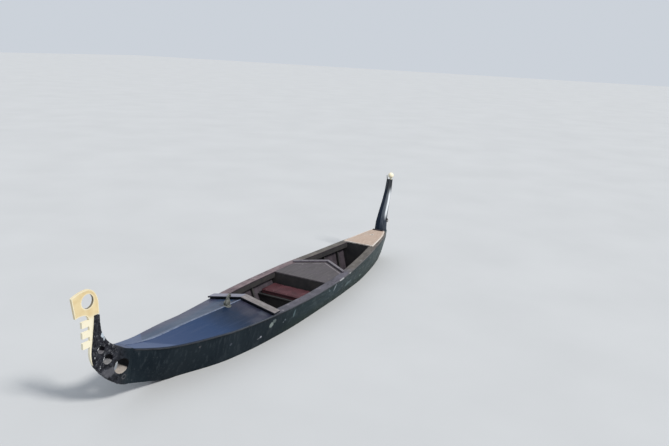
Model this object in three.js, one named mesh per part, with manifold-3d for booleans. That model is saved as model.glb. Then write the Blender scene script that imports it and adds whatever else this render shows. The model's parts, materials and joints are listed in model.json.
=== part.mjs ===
// A small gondola with a gabled foredeck, a toothed bow iron and a tall stern post.
// Millimetres. X points to the bow, Y to port, Z up. The flat of the bottom lies at Z = 0.

import * as THREE from 'three';
import Module from 'manifold-3d';
import { mergeVertices } from 'three/addons/utils/BufferGeometryUtils.js';

const wasm = await Module();
wasm.setup();

// Driving dimensions
const GAP = 0.3;
const STATION_STEP = 125;
const HULL_AFT = -2950;
const HULL_FORE = 2875;
const STERN_END = -3235;
const PLANK_THICK = 18;
const BOTTOM_THICK = 20;
const DECK_THICK = 20;
const PLANK_BULGE = 10;
const BULGE_FADE = 500;
const PLANK_STRIPS = 4;
const INSIDE_GAP = 0.6;
const SIDE_DECK_WIDTH = 115;
const RAIL = { thick: 12, height: 24, aft: -3090, fore: 2860, taper: 2625, tip: 0.25 };
const COAMING = { fore: 965, aft: 835, thick: 18, lift: 31, apex: 752, overhang: 8 };
const RISER = { fore: 946, aft: 918, inset: 2 };
const MID_DECK = { fore: -450, shoulder: -1015, apex: -1300, tip: 3 };
const BAR = { depth: 56, height: 26, half: 425, shoulder: -996, apex: -1292 };
const AFT_DECK = { fore: -2280, aft: -3055, thick: 18, insetFore: 45, insetAft: 15 };
const CREASE = { aft: 2450, fore: 2640, rise: 15, edge: 0.02 };
const DECK_HOLE = { x: -2800, radius: 22 };
const BATTEN = { fore: -3028, aft: -3052, half: 96, height: 14 };
const SIDE_DECK_AFT = -3062;
const CARLIN = { depth: 70, thick: 16, inset: 2 };
const FRAME = { thick: 32, floor: 40, arm: 34, topDrop: 24 };
const FRAME_STATIONS = [350, 40, -1400, -1760, -2110];
const FLOOR = { thick: 15, boardWidth: 176, boardGap: 8, fore: 418, aft: -38 };
const WELL_FLOOR = { fore: -960, aft: -2250, inset: 8 };
const BULKHEAD_THICK = 16;
const BULKHEADS = { fore: 916, midFore: -468, midAft: -934, aft: -2302 };
const BENCH = { top: 400, thick: 20, panelThick: 18, overhang: 18, sideGap: 2 };
const AFT_BENCH = { fore: -62, aft: -451 };
const FORE_BENCH = { fore: 898, aft: 442 };
const CUSHION = { thick: 62, inset: 16, corner: 26, foreHalf: 385, aftHalf: 430 };
const STEM_HOLES = [
  // x, z, radius
  [3207, 917, 37],
  [3139, 798, 50],
  [2988, 671, 78],
];
const BOW_IRON = { thick: 24, holeX: 3321, holeZ: 1434, holeRadius: 70 };
const TEETH = { count: 3, low: 1190, height: 61, pitch: 104, root: 3312, tip: 3399 };
const BALL = { x: -3452, radius: 48, neckRadius: 15, neck: 20 };
const POST_TOP = 1596;
const HORN = { foot: 1586, tip: 1668 };
const RING = { x: -3200, face: 80, low: 914, high: 950, half: 17, thick: 6, radius: 22, wire: 5, pin: 7 };
const ORNAMENT = { thick: 44, aft: 1182, fore: 1262, skirt: 30 };
const SADDLE = { aft: 1168, fore: 1290, half: 60, height: 10 };

// Hull lines, one row a station. Columns: x, sheer half breadth, sheer height,
// chine half breadth, chine height, rise of the deck's ridge over the sheer
const HULL_LINES = [
  [-3235, 86, 757, 40, 470, 0],
  [-3110, 108, 742, 50, 335, 0],
  [-2950, 175, 720, 70, 255, 0],
  [-2400, 292, 685, 163, 130, 0],
  [-1600, 420, 645, 258, 30, 0],
  [-600, 530, 620, 276, 0, 0],
  [0, 540, 615, 304, 0, 0],
  [500, 525, 617, 325, 0, 0],
  [1000, 482, 620, 322, 10, 100],
  [1600, 410, 638, 264, 60, 103],
  [1900, 367, 668, 187, 125, 86],
  [2200, 310, 698, 96, 218, 60],
  [2500, 234, 736, 62, 302, 30],
  [2750, 155, 793, 45, 385, 12],
  [2875, 112, 827, 38, 425, 4],
];

const COLOURS = {
  hull: [0x1b1f22, 0.45],
  deck: [0x3a4660, 0.3],
  cap: [0x6f6670, 0.7],
  iron: [0xe9dcb0, 0.5],
  ply: [0xc9b297, 0.75],
  inside: [0x3b3a3c, 0.8],
  floor: [0x55504a, 0.85],
  ornament: [0x6b6a55, 0.6],
  ring: [0x24262a, 0.6],
  cushion: [0x3a1a20, 0.8],
};

// Monotone cubic curve through one column of the table
function curve(column) {
  const xs = HULL_LINES.map((row) => row[0]);
  const ys = HULL_LINES.map((row) => row[column]);
  const steps = xs.slice(1).map((x, i) => x - xs[i]);
  const slopes = steps.map((step, i) => (ys[i + 1] - ys[i]) / step);
  const tangents = xs.map((_, i) => {
    if (i === 0) return slopes[0];
    if (i === xs.length - 1) return slopes[i - 1];
    const [before, after] = [slopes[i - 1], slopes[i]];
    if (before * after <= 0) return 0;
    const [wa, wb] = [2 * steps[i] + steps[i - 1], steps[i] + 2 * steps[i - 1]];
    return (wa + wb) / (wa / before + wb / after);
  });
  const smooth = (x) => {
    const inner = xs.slice(1, -1).filter((v) => v <= x).length;
    const i = Math.min(inner, xs.length - 2);
    const t = (x - xs[i]) / steps[i];
    const [t2, t3] = [t * t, t * t * t];
    const start = (2 * t3 - 3 * t2 + 1) * ys[i] + (t3 - 2 * t2 + t) * steps[i] * tangents[i];
    return start + (3 * t2 - 2 * t3) * ys[i + 1] + (t3 - t2) * steps[i] * tangents[i + 1];
  };
  // Straight between stations, so that neighbours cut at different places still fit
  return (x) => {
    const cell = Math.floor(x / STATION_STEP);
    const share = x / STATION_STEP - cell;
    return smooth(cell * STATION_STEP) * (1 - share) + smooth((cell + 1) * STATION_STEP) * share;
  };
}

const sheerHalf = curve(1);
const sheerZ = curve(2);
const chineHalf = curve(3);
const chineZ = curve(4);
const ridgeRise = curve(5);
const plankTop = (x) => sheerZ(x) - DECK_THICK - GAP;

// Outer half breadth of the hull's side at height z, straight between four strips
function sideHalf(x, z) {
  const t = (z - chineZ(x)) / (plankTop(x) - chineZ(x));
  const fade = Math.min(1, (HULL_FORE - x) / BULGE_FADE);
  const bulge = (share) => PLANK_BULGE * fade * 4 * share * (1 - share);
  const strip = Math.min(PLANK_STRIPS - 1, Math.max(0, Math.floor(t * PLANK_STRIPS)));
  const across = t * PLANK_STRIPS - strip;
  const swell = bulge(strip / PLANK_STRIPS) * (1 - across) + bulge((strip + 1) / PLANK_STRIPS) * across;
  return chineHalf(x) + (sheerHalf(x) - chineHalf(x)) * t + swell;
}

const sideDeckInner = (x) => Math.max(sheerHalf(x) - SIDE_DECK_WIDTH, 12);

// Every station between two places, and the places themselves
function stations(from, to) {
  const places = [from];
  for (let x = Math.ceil((from + 1) / STATION_STEP) * STATION_STEP; x < to - 1; x += STATION_STEP) {
    places.push(x);
  }
  return [...places, to];
}

// A closed body through loops of equal length, each loop a list of [x, y, z]
function loft(loops) {
  const size = loops[0].length;
  const positions = loops.flat(2);
  const faces = [];
  for (let i = 0; i + 1 < loops.length; i += 1) {
    for (let j = 0; j < size; j += 1) {
      const k = (j + 1) % size;
      const [a, b, c, d] = [i * size + j, i * size + k, (i + 1) * size + k, (i + 1) * size + j];
      faces.push([a, b, c], [a, c, d]);
    }
  }
  const end = (loops.length - 1) * size;
  for (let j = 1; j + 1 < size; j += 1) {
    faces.push([0, j + 1, j], [end, end + j, end + j + 1]);
  }
  return outward(positions, faces);
}

// Geometry whose faces point out, whichever way the loops ran
function outward(positions, faces) {
  const point = (i) => new THREE.Vector3(...positions.slice(3 * i, 3 * i + 3));
  const volume = faces.reduce((sum, [a, b, c]) => sum + point(a).dot(point(b).cross(point(c))), 0);
  const index = faces.flatMap(([a, b, c]) => (volume < 0 ? [a, c, b] : [a, b, c]));
  const geometry = new THREE.BufferGeometry();
  geometry.setAttribute('position', new THREE.Float32BufferAttribute(positions, 3));
  geometry.setIndex(index);
  return geometry;
}

function toManifold(geometry) {
  const bare = geometry.clone();
  bare.deleteAttribute('normal');
  bare.deleteAttribute('uv');
  const merged = mergeVertices(bare, 1e-3);
  const vertProperties = new Float32Array(merged.attributes.position.array);
  const triVerts = new Uint32Array(merged.index.array);
  return new wasm.Manifold(new wasm.Mesh({ numProp: 3, vertProperties, triVerts }));
}

function toGeometry(manifold) {
  const mesh = manifold.getMesh();
  const geometry = new THREE.BufferGeometry();
  geometry.setAttribute('position', new THREE.Float32BufferAttribute(mesh.vertProperties, 3));
  geometry.setIndex([...mesh.triVerts]);
  return geometry;
}

function subtract(body, ...tools) {
  return toGeometry(tools.reduce((left, tool) => left.subtract(toManifold(tool)), toManifold(body)));
}

function shapeOf(points) {
  return new THREE.Shape(points.map(([u, v]) => new THREE.Vector2(u, v)));
}

// An outline in the X-Z plane, made thick across the centre plane
function profile(shape, thick, curveSegments = 8) {
  const geometry = new THREE.ExtrudeGeometry(shape, { depth: thick, bevelEnabled: false, curveSegments });
  geometry.rotateX(Math.PI / 2);
  geometry.translate(0, thick / 2, 0);
  return geometry;
}

// An outline in the Y-Z plane, made thick from x towards the bow
function section(shape, x, thick) {
  const geometry = new THREE.ExtrudeGeometry(shape, { depth: thick, bevelEnabled: false });
  geometry.applyMatrix4(new THREE.Matrix4().set(0, 0, 1, x, 1, 0, 0, 0, 0, 1, 0, 0, 0, 0, 0, 1));
  return geometry;
}

function crossHole(x, z, radius, length, sides = 28) {
  return new THREE.CylinderGeometry(radius, radius, length, sides).translate(x, 0, z);
}

const gondola = new THREE.Group();

function add(name, geometry, colour) {
  const [color, roughness] = COLOURS[colour];
  const material = new THREE.MeshStandardMaterial({ color, roughness, metalness: 0 });
  const mesh = new THREE.Mesh(geometry, material);
  mesh.name = name;
  gondola.add(mesh);
}

const SIDES = [
  ['port', 1],
  ['starboard', -1],
];

// Hull skin: two side planks and the bottom between them
function sidePlank(side) {
  const shares = Array.from({ length: PLANK_STRIPS + 1 }, (_, i) => i / PLANK_STRIPS);
  return loft(stations(HULL_AFT, HULL_FORE).map((x) => {
    const heights = shares.map((t) => chineZ(x) + (plankTop(x) - chineZ(x)) * t);
    const outer = heights.map((z) => [x, side * sideHalf(x, z), z]);
    const inner = heights.map((z) => [x, side * (sideHalf(x, z) - PLANK_THICK), z]);
    return [...outer, ...inner.reverse()];
  }));
}

function bottomPanel() {
  return loft(stations(HULL_AFT, HULL_FORE).map((x) => {
    const half = chineHalf(x) - PLANK_THICK - GAP;
    const [low, high] = [chineZ(x), chineZ(x) + BOTTOM_THICK];
    return [[x, -half, low], [x, half, low], [x, half, high], [x, -half, high]];
  }));
}

// Bow block: the stem's side outline, cut to a wedge that narrows forward
function stemBlock() {
  const outline = new THREE.Shape();
  outline.moveTo(HULL_FORE + GAP, chineZ(HULL_FORE));
  outline.quadraticCurveTo(2970, 440, 3062, 515);
  outline.quadraticCurveTo(3190, 620, 3290, 782);
  outline.quadraticCurveTo(3322, 855, 3291, 1009);
  outline.lineTo(3264, 1190);
  outline.lineTo(3254, 1275);
  outline.lineTo(3204, 1275);
  outline.lineTo(3195, 1150);
  outline.quadraticCurveTo(3186, 1025, 3064, 922);
  outline.quadraticCurveTo(2990, 862, 2900, 836);
  outline.lineTo(HULL_FORE + GAP, sheerZ(HULL_FORE) + ridgeRise(HULL_FORE));
  const [low, deck] = [chineHalf(HULL_FORE), sheerHalf(HULL_FORE)];
  // columns: x, half breadth at the low, the deck and the top level
  const rows = [
    [HULL_FORE, low, deck, deck],
    [2900, 36.6, 103.4, 62],
    [3050, 30, 60, 42],
    [3180, 25, 40, 34],
    [3330, 15, 19, 22],
  ];
  const levels = [chineZ(HULL_FORE), plankTop(HULL_FORE), 1300];
  const wedge = loft(rows.map(([x, ...halves]) => {
    const right = halves.map((half, i) => [x, -half, levels[i]]);
    const left = halves.map((half, i) => [x, half, levels[i]]).reverse();
    return [...right, ...left];
  }));
  const block = toManifold(profile(outline, 400)).intersect(toManifold(wedge));
  const holes = STEM_HOLES.map(([x, z, radius]) => crossHole(x, z, radius, 400));
  return subtract(toGeometry(block), ...holes);
}

// Bow iron: a plate with a pierced head, three teeth and a long tapering tail
function bowIron() {
  const head = new THREE.Shape();
  head.moveTo(3190, 1275 + GAP);
  head.lineTo(3195, 1400);
  head.bezierCurveTo(3204, 1470, 3250, 1545, 3320, 1549);
  head.quadraticCurveTo(3420, 1548, 3500, 1508);
  head.lineTo(3468, 1303);
  head.bezierCurveTo(3420, 1320, 3330, 1322, TEETH.root + 6, 1262);
  for (let i = 0; i < TEETH.count; i += 1) {
    const low = TEETH.low - TEETH.pitch * i;
    head.lineTo(TEETH.root, low + TEETH.height);
    head.lineTo(TEETH.tip, low + TEETH.height);
    head.lineTo(TEETH.tip, low);
    head.lineTo(TEETH.root + 4, low);
  }
  head.quadraticCurveTo(3340, 870, 3290 + GAP, 782);
  head.quadraticCurveTo(3322 + GAP, 855, 3291 + GAP, 1009);
  head.lineTo(3264 + GAP, 1190);
  head.lineTo(3254 + GAP, 1275 + GAP);
  const eye = crossHole(BOW_IRON.holeX, BOW_IRON.holeZ, BOW_IRON.holeRadius, 4 * BOW_IRON.thick, 36);
  return subtract(profile(head, BOW_IRON.thick, 10), eye);
}

// Solid end of the hull under the stern post
function sternBlock() {
  return loft(stations(STERN_END, HULL_AFT - GAP).map((x) => {
    const [low, high] = [chineZ(x), plankTop(x)];
    const mid = (low + high) / 2;
    return [
      [x, -chineHalf(x), low],
      [x, chineHalf(x), low],
      [x, sideHalf(x, mid), mid],
      [x, sheerHalf(x), high],
      [x, -sheerHalf(x), high],
      [x, -sideHalf(x, mid), mid],
    ];
  }));
}

// Stern post: a ridged front, square shoulders and a narrower back, leaning aft
function sternPost() {
  // columns: height, ridge x, shoulder x, shoulder half breadth, back x, back half breadth
  const rows = [
    [717, -3075, -3110, 98, -3215, 82],
    [880, -3095, -3139, 93, -3228, 75],
    [1040, -3150, -3203, 81, -3268, 64],
    [1216, -3245, -3293, 72, -3345, 51],
    [1400, -3330, -3369, 64, -3410, 38],
    [POST_TOP, -3375, -3409, 55, -3464, 28],
  ];
  const post = loft(rows.map(([z, ridge, shoulder, half, back, backHalf]) => [
    [ridge, 0, z],
    [shoulder, half, z],
    [back, backHalf, z],
    [back, -backHalf, z],
    [shoulder, -half, z],
  ]));
  // One small upright horn at the head's starboard corner
  const { foot, tip } = HORN;
  const horn = loft([
    [[-3384, -35, foot], [-3410, -35, foot], [-3410, -52, foot], [-3384, -42, foot]],
    [[-3398, -51, tip], [-3412, -51, tip], [-3412, -56, tip], [-3398, -56, tip]],
  ]);
  const whole = toGeometry(toManifold(post).add(toManifold(horn)));
  return subtract(whole, sternBlock().translate(0, 0, GAP));
}

function sternBall() {
  const foot = -BALL.radius - BALL.neck;
  const points = [[0, foot], [BALL.neckRadius, foot]];
  const start = Math.asin(BALL.neckRadius / BALL.radius);
  const turns = 12;
  for (let i = 0; i < turns; i += 1) {
    const angle = start + ((Math.PI - start) * i) / turns;
    points.push([BALL.radius * Math.sin(angle), -BALL.radius * Math.cos(angle)]);
  }
  points.push([0, BALL.radius]);
  const outline = points.map(([u, v]) => new THREE.Vector2(u, v));
  const height = POST_TOP + GAP - foot;
  return new THREE.LatheGeometry(outline, 24).rotateX(Math.PI / 2).translate(BALL.x, 0, height);
}

// Iron ring that hangs from a pin on a plate, fitted to the port side of the post
function sternRing() {
  const { x, face, low, high, half, thick, radius, wire, pin } = RING;
  const out = face + 2 * thick;
  const plate = new THREE.BoxGeometry(2 * half, 4 * thick, high - low);
  plate.translate(x, out - 2 * thick, (low + high) / 2);
  const middle = (low + high) / 2;
  const knob = new THREE.CylinderGeometry(pin, pin, 4 * wire, 12).translate(x, out + wire, middle);
  const circle = new THREE.TorusGeometry(radius, wire, 8, 20).rotateX(Math.PI / 2);
  circle.translate(x, out + 2 * wire, middle - radius);
  const whole = toManifold(plate).add(toManifold(knob)).add(toManifold(circle));
  return subtract(toGeometry(whole), sternPost().translate(0, GAP, 0));
}

// One half of the gabled foredeck. Its tip is flatter, forward of a slanting crease
function foredeck(side) {
  const places = [...stations(RISER.fore + GAP, HULL_FORE - GAP), CREASE.aft, CREASE.fore];
  return loft(places.sort((a, b) => a - b).map((x) => {
    const [edge, ridge] = [sheerZ(x), sheerZ(x) + ridgeRise(x)];
    const across = (CREASE.fore - x) / (CREASE.fore - CREASE.aft);
    const share = Math.min(1 - CREASE.edge, Math.max(CREASE.edge, across));
    const lift = Math.min(CREASE.rise, ridgeRise(x)) * (1 - share);
    return [
      [x, side * GAP, ridge],
      [x, side * sheerHalf(x) * share, edge + lift],
      [x, side * sheerHalf(x), edge],
      [x, side * sheerHalf(x), edge - DECK_THICK],
      [x, side * GAP, ridge - DECK_THICK],
    ];
  }));
}

const coamingEnd = sheerHalf(COAMING.aft) + COAMING.overhang;
const coamingLow = sheerZ(COAMING.fore) + COAMING.lift;

// Underside of the coaming's plank at a distance y from the centre plane
function coamingUnder(y) {
  const share = y / coamingEnd;
  return COAMING.apex + (coamingLow - COAMING.apex) * share - COAMING.thick;
}

function coamingRiser() {
  const half = sheerHalf(RISER.fore) - RISER.inset;
  const foot = sheerZ(RISER.fore) - DECK_THICK;
  const outline = shapeOf([
    [-half, foot],
    [half, foot],
    [half, coamingUnder(half) - GAP],
    [0, coamingUnder(0) - GAP],
    [-half, coamingUnder(half) - GAP],
  ]);
  return section(outline, RISER.aft, RISER.fore - RISER.aft);
}

function coamingPlank(side) {
  return loft([GAP, coamingEnd].map((y) => [
    [COAMING.aft, side * y, coamingUnder(y)],
    [COAMING.fore, side * y, coamingUnder(y)],
    [COAMING.fore, side * y, coamingUnder(y) + COAMING.thick],
    [COAMING.aft, side * y, coamingUnder(y) + COAMING.thick],
  ]));
}

// Upright leaf scroll in front of the coaming, on a foot that straddles the ridge
function bowOrnament() {
  const { thick, aft, fore, skirt } = ORNAMENT;
  const ridge = (x) => sheerZ(x) + ridgeRise(x) + GAP;
  const leaf = new THREE.Shape();
  leaf.moveTo(aft, ridge(aft) - skirt);
  leaf.lineTo(fore, ridge(fore) - skirt);
  leaf.quadraticCurveTo(fore + 8, 756, fore - 14, 770);
  leaf.bezierCurveTo(fore - 20, 804, fore - 2, 838, 1226, 852);
  leaf.quadraticCurveTo(1182, 864, 1170, 828);
  leaf.quadraticCurveTo(1196, 812, aft + 4, 774);
  const saddle = shapeOf([
    [SADDLE.aft, ridge(SADDLE.aft) - skirt],
    [SADDLE.fore, ridge(SADDLE.fore) - skirt],
    [SADDLE.fore, ridge(SADDLE.fore) + SADDLE.height],
    [SADDLE.aft, ridge(SADDLE.aft) + SADDLE.height],
  ]);
  const whole = toManifold(profile(leaf, thick)).add(toManifold(profile(saddle, 2 * SADDLE.half)));
  // The two slopes of the deck, as one body that the foot is cut to
  const slopes = loft(stations(SADDLE.aft - STATION_STEP, SADDLE.fore + STATION_STEP).map((x) => [
    [x, -sheerHalf(x), sheerZ(x) - DECK_THICK],
    [x, sheerHalf(x), sheerZ(x) - DECK_THICK],
    [x, sheerHalf(x), sheerZ(x) + GAP],
    [x, 0, ridge(x)],
    [x, -sheerHalf(x), sheerZ(x) + GAP],
  ]));
  return subtract(toGeometry(whole), slopes);
}

// Flat cap along each side of the cockpits
function sideDeck(side) {
  return loft(stations(SIDE_DECK_AFT, RISER.aft - GAP).map((x) => {
    const [low, high] = [sheerZ(x) - DECK_THICK, sheerZ(x)];
    const [inner, outer] = [side * sideDeckInner(x), side * sheerHalf(x)];
    return [[x, inner, low], [x, outer, low], [x, outer, high], [x, inner, high]];
  }));
}

// Outer moulding along the sheer from the stem to the stern block, thinner at the bow
function gunwaleRail(side) {
  return loft(stations(RAIL.aft, RAIL.fore).map((x) => {
    const share = Math.max(0, (x - RAIL.taper) / (RAIL.fore - RAIL.taper));
    const outset = GAP + RAIL.thick * (1 - (1 - RAIL.tip) * share);
    const [low, high] = [sheerZ(x) - RAIL.height, sheerZ(x) - 2];
    const inner = side * (sheerHalf(x) + GAP);
    const outer = side * (sheerHalf(x) + outset);
    return [[x, inner, low], [x, outer, low + 5], [x, outer, high - 5], [x, inner, high]];
  }));
}

// Deck between the two cockpits, with a point on its aft edge
function midDeckHalf(x) {
  const full = sideDeckInner(x) - GAP;
  if (x >= MID_DECK.shoulder) return full;
  const share = (x - MID_DECK.apex) / (MID_DECK.shoulder - MID_DECK.apex);
  return Math.min(full, MID_DECK.tip + (sideDeckInner(MID_DECK.shoulder) - GAP - MID_DECK.tip) * share);
}

function midDeck() {
  const point = stations(MID_DECK.apex, MID_DECK.shoulder);
  const full = stations(MID_DECK.shoulder, MID_DECK.fore).slice(1);
  return loft([...point, ...full].map((x) => {
    const half = midDeckHalf(x);
    const [low, high] = [sheerZ(x) - DECK_THICK, sheerZ(x)];
    return [[x, -half, low], [x, half, low], [x, half, high], [x, -half, high]];
  }));
}

// Raised bar along the two slanting edges of the point
function midDeckBar() {
  const ends = [[-BAR.half, BAR.shoulder], [0, BAR.apex], [BAR.half, BAR.shoulder]];
  return loft(ends.map(([y, x]) => {
    const fore = x + BAR.depth;
    const low = Math.max(sheerZ(x), sheerZ(fore)) + GAP;
    const high = low + BAR.height;
    return [[x, y, low], [fore, y, low], [fore, y, high], [x, y, high]];
  }));
}

// Plywood panel laid over the side decks in front of the stern post
function aftDeck() {
  const { fore, aft, thick, insetFore, insetAft } = AFT_DECK;
  const panel = loft(stations(aft, fore).map((x) => {
    const share = (x - aft) / (fore - aft);
    const half = sheerHalf(x) - insetAft - (insetFore - insetAft) * share;
    const [low, high] = [sheerZ(x) + GAP, sheerZ(x) + thick];
    return [[x, -half, low], [x, half, low], [x, half, high], [x, -half, high]];
  }));
  const hole = new THREE.CylinderGeometry(DECK_HOLE.radius, DECK_HOLE.radius, 10 * thick, 24);
  hole.rotateX(Math.PI / 2).translate(DECK_HOLE.x, 0, sheerZ(DECK_HOLE.x));
  return subtract(panel, hole);
}

function aftDeckBatten() {
  const { fore, aft, half, height } = BATTEN;
  return loft([aft, fore].map((x) => {
    const low = sheerZ(x) + AFT_DECK.thick + GAP;
    return [[x, -half, low], [x, half, low], [x, half, low + height], [x, -half, low + height]];
  }));
}

// Board under the inner edge of a side deck
function carlin(side, from, to) {
  return loft(stations(from, to).map((x) => {
    const top = sheerZ(x) - DECK_THICK;
    const [low, high] = [top - CARLIN.depth, top - GAP];
    const inner = side * (sideDeckInner(x) + CARLIN.inset);
    const outer = inner + side * CARLIN.thick;
    return [[x, inner, low], [x, outer, low], [x, outer, high], [x, inner, high]];
  }));
}

// Half breadth inside the planks over the length of a piece, at height z
function insideHalf(x, thick, z) {
  return Math.min(sideHalf(x, z), sideHalf(x + thick, z)) - PLANK_THICK - INSIDE_GAP;
}

// A cross panel that fills the hull from the bottom up to a level
function crossPanel(x, thick, top, tongue = []) {
  const low = Math.max(chineZ(x), chineZ(x + thick)) + BOTTOM_THICK + GAP;
  const heights = [0, 0.5, 1].map((t) => low + (top - low) * t);
  const right = [...heights.map((z) => [insideHalf(x, thick, z), z]), ...tongue];
  const left = right.map(([y, z]) => [-y, z]).reverse();
  return section(shapeOf([...right, ...left]), x, thick);
}

// Top of a bulkhead that meets the deck's underside
const underDeck = (x) => Math.min(sheerZ(x), sheerZ(x + BULKHEAD_THICK)) - DECK_THICK - GAP;
const bulkhead = (x, drop = 0) => crossPanel(x, BULKHEAD_THICK, underDeck(x) - drop);

// The aft bulkhead stands up between the side decks to carry the panel over them
function aftBulkhead(x) {
  const inner = Math.min(sideDeckInner(x), sideDeckInner(x + BULKHEAD_THICK)) - GAP;
  const tongue = [[inner, underDeck(x)], [inner, underDeck(x) + DECK_THICK]];
  return crossPanel(x, BULKHEAD_THICK, underDeck(x), tongue);
}

// U shaped frame: a floor timber with two arms up the planks
function hullFrame(x) {
  const low = Math.max(chineZ(x), chineZ(x + FRAME.thick)) + BOTTOM_THICK + GAP;
  const top = Math.min(plankTop(x), plankTop(x + FRAME.thick)) - FRAME.topDrop;
  const heights = [0, 0.5, 1].map((t) => low + (top - low) * t);
  const outer = heights.map((z) => [insideHalf(x, FRAME.thick, z), z]);
  const floorTop = low + FRAME.floor;
  const inner = [top, (floorTop + top) / 2, floorTop];
  const right = [...outer, ...inner.map((z) => [insideHalf(x, FRAME.thick, z) - FRAME.arm, z])];
  const left = right.map(([y, z]) => [-y, z]).reverse();
  const frame = section(shapeOf([...right, ...left]), x, FRAME.thick);
  return x > WELL_FLOOR.fore ? frame : subtract(frame, wellFloor().translate(0, 0, -GAP));
}

// Underside of the floors, just over the frames' timbers
const floorLevel = (x) => chineZ(x) + BOTTOM_THICK + FRAME.floor + 2 * GAP;

function floorBoard(middle) {
  const { thick, boardWidth, fore, aft } = FLOOR;
  const board = new THREE.BoxGeometry(fore - aft, boardWidth, thick);
  return board.translate((fore + aft) / 2, middle, floorLevel(0) + thick / 2);
}

function wellFloor() {
  return loft(stations(WELL_FLOOR.aft, WELL_FLOOR.fore).map((x) => {
    const low = floorLevel(x);
    const half = sideHalf(x, low) - PLANK_THICK - FRAME.arm - WELL_FLOOR.inset;
    const high = low + FLOOR.thick;
    return [[x, -half, low], [x, half, low], [x, half, high], [x, -half, high]];
  }));
}

function benchBoard(aft, fore) {
  const [low, high] = [BENCH.top - BENCH.thick, BENCH.top];
  return loft(stations(aft, fore).map((x) => {
    const half = sideHalf(x, low) - PLANK_THICK - BENCH.sideGap;
    return [[x, -half, low], [x, half, low], [x, half, high], [x, -half, high]];
  }));
}

const benchPanel = (x) => crossPanel(x, BENCH.panelThick, BENCH.top - BENCH.thick - GAP);

// Plain seat cushion with round corners
function cushion(aft, fore, half) {
  const corner = CUSHION.corner;
  const [w, h] = [(fore - aft) / 2 - corner, half - corner];
  const outline = new THREE.Shape();
  outline.absarc(w, h, corner, 0, Math.PI / 2);
  outline.absarc(-w, h, corner, Math.PI / 2, Math.PI);
  outline.absarc(-w, -h, corner, Math.PI, 1.5 * Math.PI);
  outline.absarc(w, -h, corner, 1.5 * Math.PI, 2 * Math.PI);
  const options = { depth: CUSHION.thick, bevelEnabled: false, curveSegments: 5 };
  const pad = new THREE.ExtrudeGeometry(outline, options);
  return pad.translate((fore + aft) / 2, 0, BENCH.top + GAP);
}

// Assembly
add('bottom_panel', bottomPanel(), 'hull');
add('stem_block', stemBlock(), 'hull');
add('stern_block', sternBlock(), 'hull');
add('stern_post', sternPost(), 'hull');
add('stern_ball', sternBall(), 'iron');
add('stern_ring', sternRing(), 'ring');
add('bow_iron', bowIron(), 'iron');
add('bow_ornament', bowOrnament(), 'ornament');
add('coaming_riser', coamingRiser(), 'deck');
add('mid_deck', midDeck(), 'cap');
add('mid_deck_bar', midDeckBar(), 'hull');
add('aft_deck', aftDeck(), 'ply');
add('aft_deck_batten', aftDeckBatten(), 'hull');
add('well_floor', wellFloor(), 'floor');

const cockpitAft = BULKHEADS.midFore + BULKHEAD_THICK + GAP;
const cockpitFore = BULKHEADS.fore - GAP;
const wellAft = BULKHEADS.aft + BULKHEAD_THICK + GAP;
const wellFore = BULKHEADS.midAft - GAP;
for (const [name, side] of SIDES) {
  add(`side_plank_${name}`, sidePlank(side), 'hull');
  add(`foredeck_${name}`, foredeck(side), 'deck');
  add(`coaming_plank_${name}`, coamingPlank(side), 'cap');
  add(`side_deck_${name}`, sideDeck(side), 'cap');
  add(`gunwale_rail_${name}`, gunwaleRail(side), 'hull');
  add(`cockpit_carlin_${name}`, carlin(side, cockpitAft, cockpitFore), 'inside');
  add(`well_carlin_${name}`, carlin(side, wellAft, wellFore), 'inside');
}

FRAME_STATIONS.forEach((x, i) => add(`hull_frame_${i + 1}`, hullFrame(x), 'inside'));

const boardPitch = FLOOR.boardWidth + FLOOR.boardGap;
add('floor_board_centre', floorBoard(0), 'floor');
add('floor_board_port', floorBoard(boardPitch), 'floor');
add('floor_board_starboard', floorBoard(-boardPitch), 'floor');

add('bulkhead_fore', bulkhead(BULKHEADS.fore, GAP), 'inside');
add('bulkhead_mid_fore', bulkhead(BULKHEADS.midFore), 'inside');
add('bulkhead_mid_aft', bulkhead(BULKHEADS.midAft), 'inside');
add('bulkhead_aft', aftBulkhead(BULKHEADS.aft), 'inside');

const forePanel = FORE_BENCH.aft + BENCH.overhang;
const aftPanel = AFT_BENCH.fore - BENCH.overhang - BENCH.panelThick;
add('bench_board_fore', benchBoard(FORE_BENCH.aft, cockpitFore), 'inside');
add('bench_board_aft', benchBoard(cockpitAft, AFT_BENCH.fore), 'inside');
add('bench_panel_fore', benchPanel(forePanel), 'inside');
add('bench_panel_aft', benchPanel(aftPanel), 'inside');

const { inset, foreHalf, aftHalf } = CUSHION;
add('bench_cushion_fore', cushion(FORE_BENCH.aft + inset, FORE_BENCH.fore, foreHalf), 'cushion');
add('bench_cushion_aft', cushion(AFT_BENCH.aft + inset, AFT_BENCH.fore - inset, aftHalf), 'cushion');

export default gondola;
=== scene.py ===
import json
import math

import bmesh
import bpy
from mathutils import Matrix, Vector
from mathutils.bvhtree import BVHTree


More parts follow.
